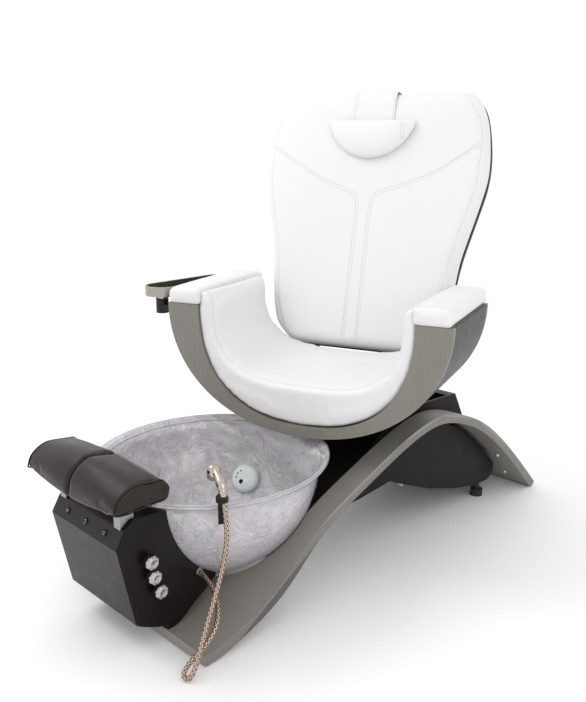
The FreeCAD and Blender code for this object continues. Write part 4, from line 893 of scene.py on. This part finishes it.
SEGMENTS = 144
profile = [(r, z, False) for r, z in wall(OUTER_R, OUTER_D, True)] + [(r, z, False) for r, z in RIM]
profile += [(r, z, True) for r, z in wall(INNER_R, INNER_D, False)]
rings = []
for r, z, inside in profile:
    ring = []
    for k in range(SEGMENTS):
        a = 2 * math.pi * k / SEGMENTS
        x, y = r * math.cos(a), r * math.sin(a)
        step = moulding(x, y, z) if inside else 0.0
        ring.append(BOWL @ Vector((x * (1 - step / max(r, 0.05)), y * (1 - step / max(r, 0.05)), z)))
    rings.append(ring)
points, faces = skin(rings + [rings[0]])
whole = len(rings) * SEGMENTS
faces = [tuple(i % whole for i in face) for face in faces]
JET_AT = Vector((-0.107, 0.454, 0.217))
JET_WAY = Vector((0.374, -0.762, 0.529)).normalized()


def in_jet_hole(place):
    off = place - JET_AT
    deep = off.dot(JET_WAY)
    return abs(deep) < 0.06 and (off - JET_WAY * deep).length < 0.031


faces = [face for face in faces
         if not in_jet_hole(sum((Vector(points[i]) for i in face), Vector()) / len(face))]
glass = mesh_piece("foot_bowl_glass", points[:whole], faces)
stands_for(glass, "bowl")

for name, radius, height, girth in (("bowl_rim_line", 0.3246, 0.0022, 0.0017),
                                    ("bowl_lip_line", 0.3030, -0.0092, 0.0011)):
    circle = [BOWL @ Vector((radius * math.cos(a), radius * math.sin(a), height))
              for a in (2 * math.pi * k / 160 for k in range(161))]
    dressed(tube(name, circle + circle[1:2], girth, 10), "base", MATERIALS["rim_glass"])

# ------------------------------------------------------------------ knobs and buttons
for node in ("knob_hot", "knob_cold", "knob_diverter"):
    low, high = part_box(node)
    middle_y, middle_z = (low.y + high.y) / 2, (low.z + high.z) / 2
    front = high.x
    stem = turned(node + "_crystal",
                  [(0.0050, -0.036), (0.0105, -0.0285), (0.0150, -0.0275), (0.0188, -0.0235), (0.0195, -0.0170),
                   (0.0192, -0.0105), (0.0172, -0.0050), (0.0130, -0.0016), (0.0085, -0.0010), (0.0070, -0.0024),
                   (0.0030, -0.0026)],
                  frame_along((front, middle_y, middle_z), (1, 0, 0)), 72, 8, 0.07)
    stands_for(stem, node)

SLOPE_UP = Vector((0, 0.026, 0.044)).normalized()
SLOPE_OUT = Vector((0, -SLOPE_UP.z, SLOPE_UP.y))
ICONS = {"button_jet": [(-4.0, 2.5, 2.6, 0), (0, 3.2, 2.6, 0), (4.0, 2.5, 2.6, 0), (-2.2, -2.4, 2.6, 0),
                        (2.2, -2.4, 2.6, 0)],
         "button_light": [(0, 4.2, 3.6, 1), (0, -4.2, 3.6, 1), (3.6, 0, 3.0, 0), (-3.6, 1.8, 2.0, 0)],
         "button_drain": [(-2.6, 2.6, 3.0, 1), (2.6, 2.6, 3.0, 1), (-2.6, -2.6, 3.0, 1), (2.6, -2.6, 3.0, 1)]}
for node, marks in ICONS.items():
    low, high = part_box(node)
    centre = (low + high) / 2
    highest = max((v.co - centre).dot(SLOPE_OUT) for v in frame["nodes"][node].data.vertices)
    points, faces = [], []
    for x, y, size, wide in marks:
        middle = centre + Vector((x, 0, 0)) * 0.001 + SLOPE_UP * y * 0.001
        first = len(points)
        for lift, grow in ((-0.0006, 1.0), (0.0002, 1.0), (0.0005, 0.8)):
            for k in range(12):
                a = 2 * math.pi * k / 12
                points.append(middle + SLOPE_OUT * (highest + lift)
                              + Vector((1, 0, 0)) * math.cos(a) * size * 0.0005 * grow * (1.2 if wide else 1.0)
                              + SLOPE_UP * math.sin(a) * size * 0.0005 * grow * (0.7 if wide else 1.0))
        for r in range(2):
            faces += [(first + 12 * r + k, first + 12 * r + (k + 1) % 12,
                       first + 12 * r + 12 + (k + 1) % 12, first + 12 * r + 12 + k) for k in range(12)]
        faces += [tuple(first + k for k in range(12)), tuple(first + 24 + k for k in range(12))]
    icon = mesh_piece(node + "_icon", points, faces)
    dressed(icon, NODE_BODY[node], MATERIALS["icon"])

# ------------------------------------------------------------------ hard parts with rounded edges
for node, width in (("console_shell", 0.0030), ("housing_cover", 0.0030), ("housing_tub", 0.0030),
                    ("seat_front_panel", 0.0008), ("seat_outer_skin", 0.0010), ("seat_rear_panel", 0.0010),
                    ("backrest_shell", 0.0060), ("tray_rim", 0.0010), ("tray_bracket", 0.0010),
                    ("spray_holder", 0.0006), ("control_panel", 0.0004), ("footrest_board", 0.0010)):
    softened(node, width)

board = softened("ribbon_base", 0.0007, 2)
UNDERSIDE = [(-0.030, 0.002), (0.020, 0.0075), (0.070, 0.020), (0.170, 0.056), (0.260, 0.110), (0.340, 0.178),
             (0.420, 0.229), (0.530, 0.277), (0.650, 0.325), (0.770, 0.366), (0.896, 0.385), (1.000, 0.364),
             (1.110, 0.317), (1.230, 0.234), (1.360, 0.120), (1.488, -0.004)]
BOARD_THICK = 0.0275
under = spaced(through([(0, y, z) for y, z in UNDERSIDE], 12), 1600)
tree = KDTree(len(under))
for i, p in enumerate(under):
    tree.insert(p, i)
tree.balance()
depths = board.data.attributes.new("depth", "FLOAT", "POINT")
for vertex in board.data.vertices:
    gap = tree.find((0, vertex.co.y, vertex.co.z))[2]
    depths.data[vertex.index].value = min(1.0, gap / BOARD_THICK)

# ------------------------------------------------------------------ floor and light
FLOOR_REACH = 30
FLOOR_LEVEL = -0.0002
corners = [(x * FLOOR_REACH, y * FLOOR_REACH, FLOOR_LEVEL) for x, y in ((-1, -1), (1, -1), (1, 1), (-1, 1))]
floor = mesh_piece("floor", corners, [(0, 1, 2, 3)], False)
pale, tree, shader = surface("floor_paper", Roughness=0.75)
paper = [(0.3, (0.93, 0.93, 0.93)), (0.7, (0.95, 0.95, 0.95))]
tree.links.new(ramp(tree, noise(tree, placed(tree), 2.0), paper),
               shader.inputs["Base Color"])
floor.data.materials.append(pale)

WORLD_STRENGTH = 1.08
world = bpy.data.worlds.new("studio")
scene.world = world
world.use_nodes = True
world.node_tree.nodes["Background"].inputs["Color"].default_value = (1.0, 1.0, 1.0, 1.0)
world.node_tree.nodes["Background"].inputs["Strength"].default_value = WORLD_STRENGTH


def softbox(name, place, aim, size, power):
    data = bpy.data.lights.new(name, "AREA")
    data.shape = "RECTANGLE"
    data.size, data.size_y = size
    data.energy = power
    lamp = bpy.data.objects.new(name, data)
    scene.collection.objects.link(lamp)
    lamp.location = place
    lamp.rotation_mode = "QUATERNION"
    lamp.rotation_quaternion = (Vector(aim) - Vector(place)).to_track_quat("-Z", "Y")


softbox("key", (-1.6, -0.8, 3.0), (0.0, 0.6, 0.5), (1.8, 1.4), 26.0)
softbox("fill", (2.6, -0.4, 1.8), (0.0, 0.5, 0.6), (1.6, 1.6), 9.0)
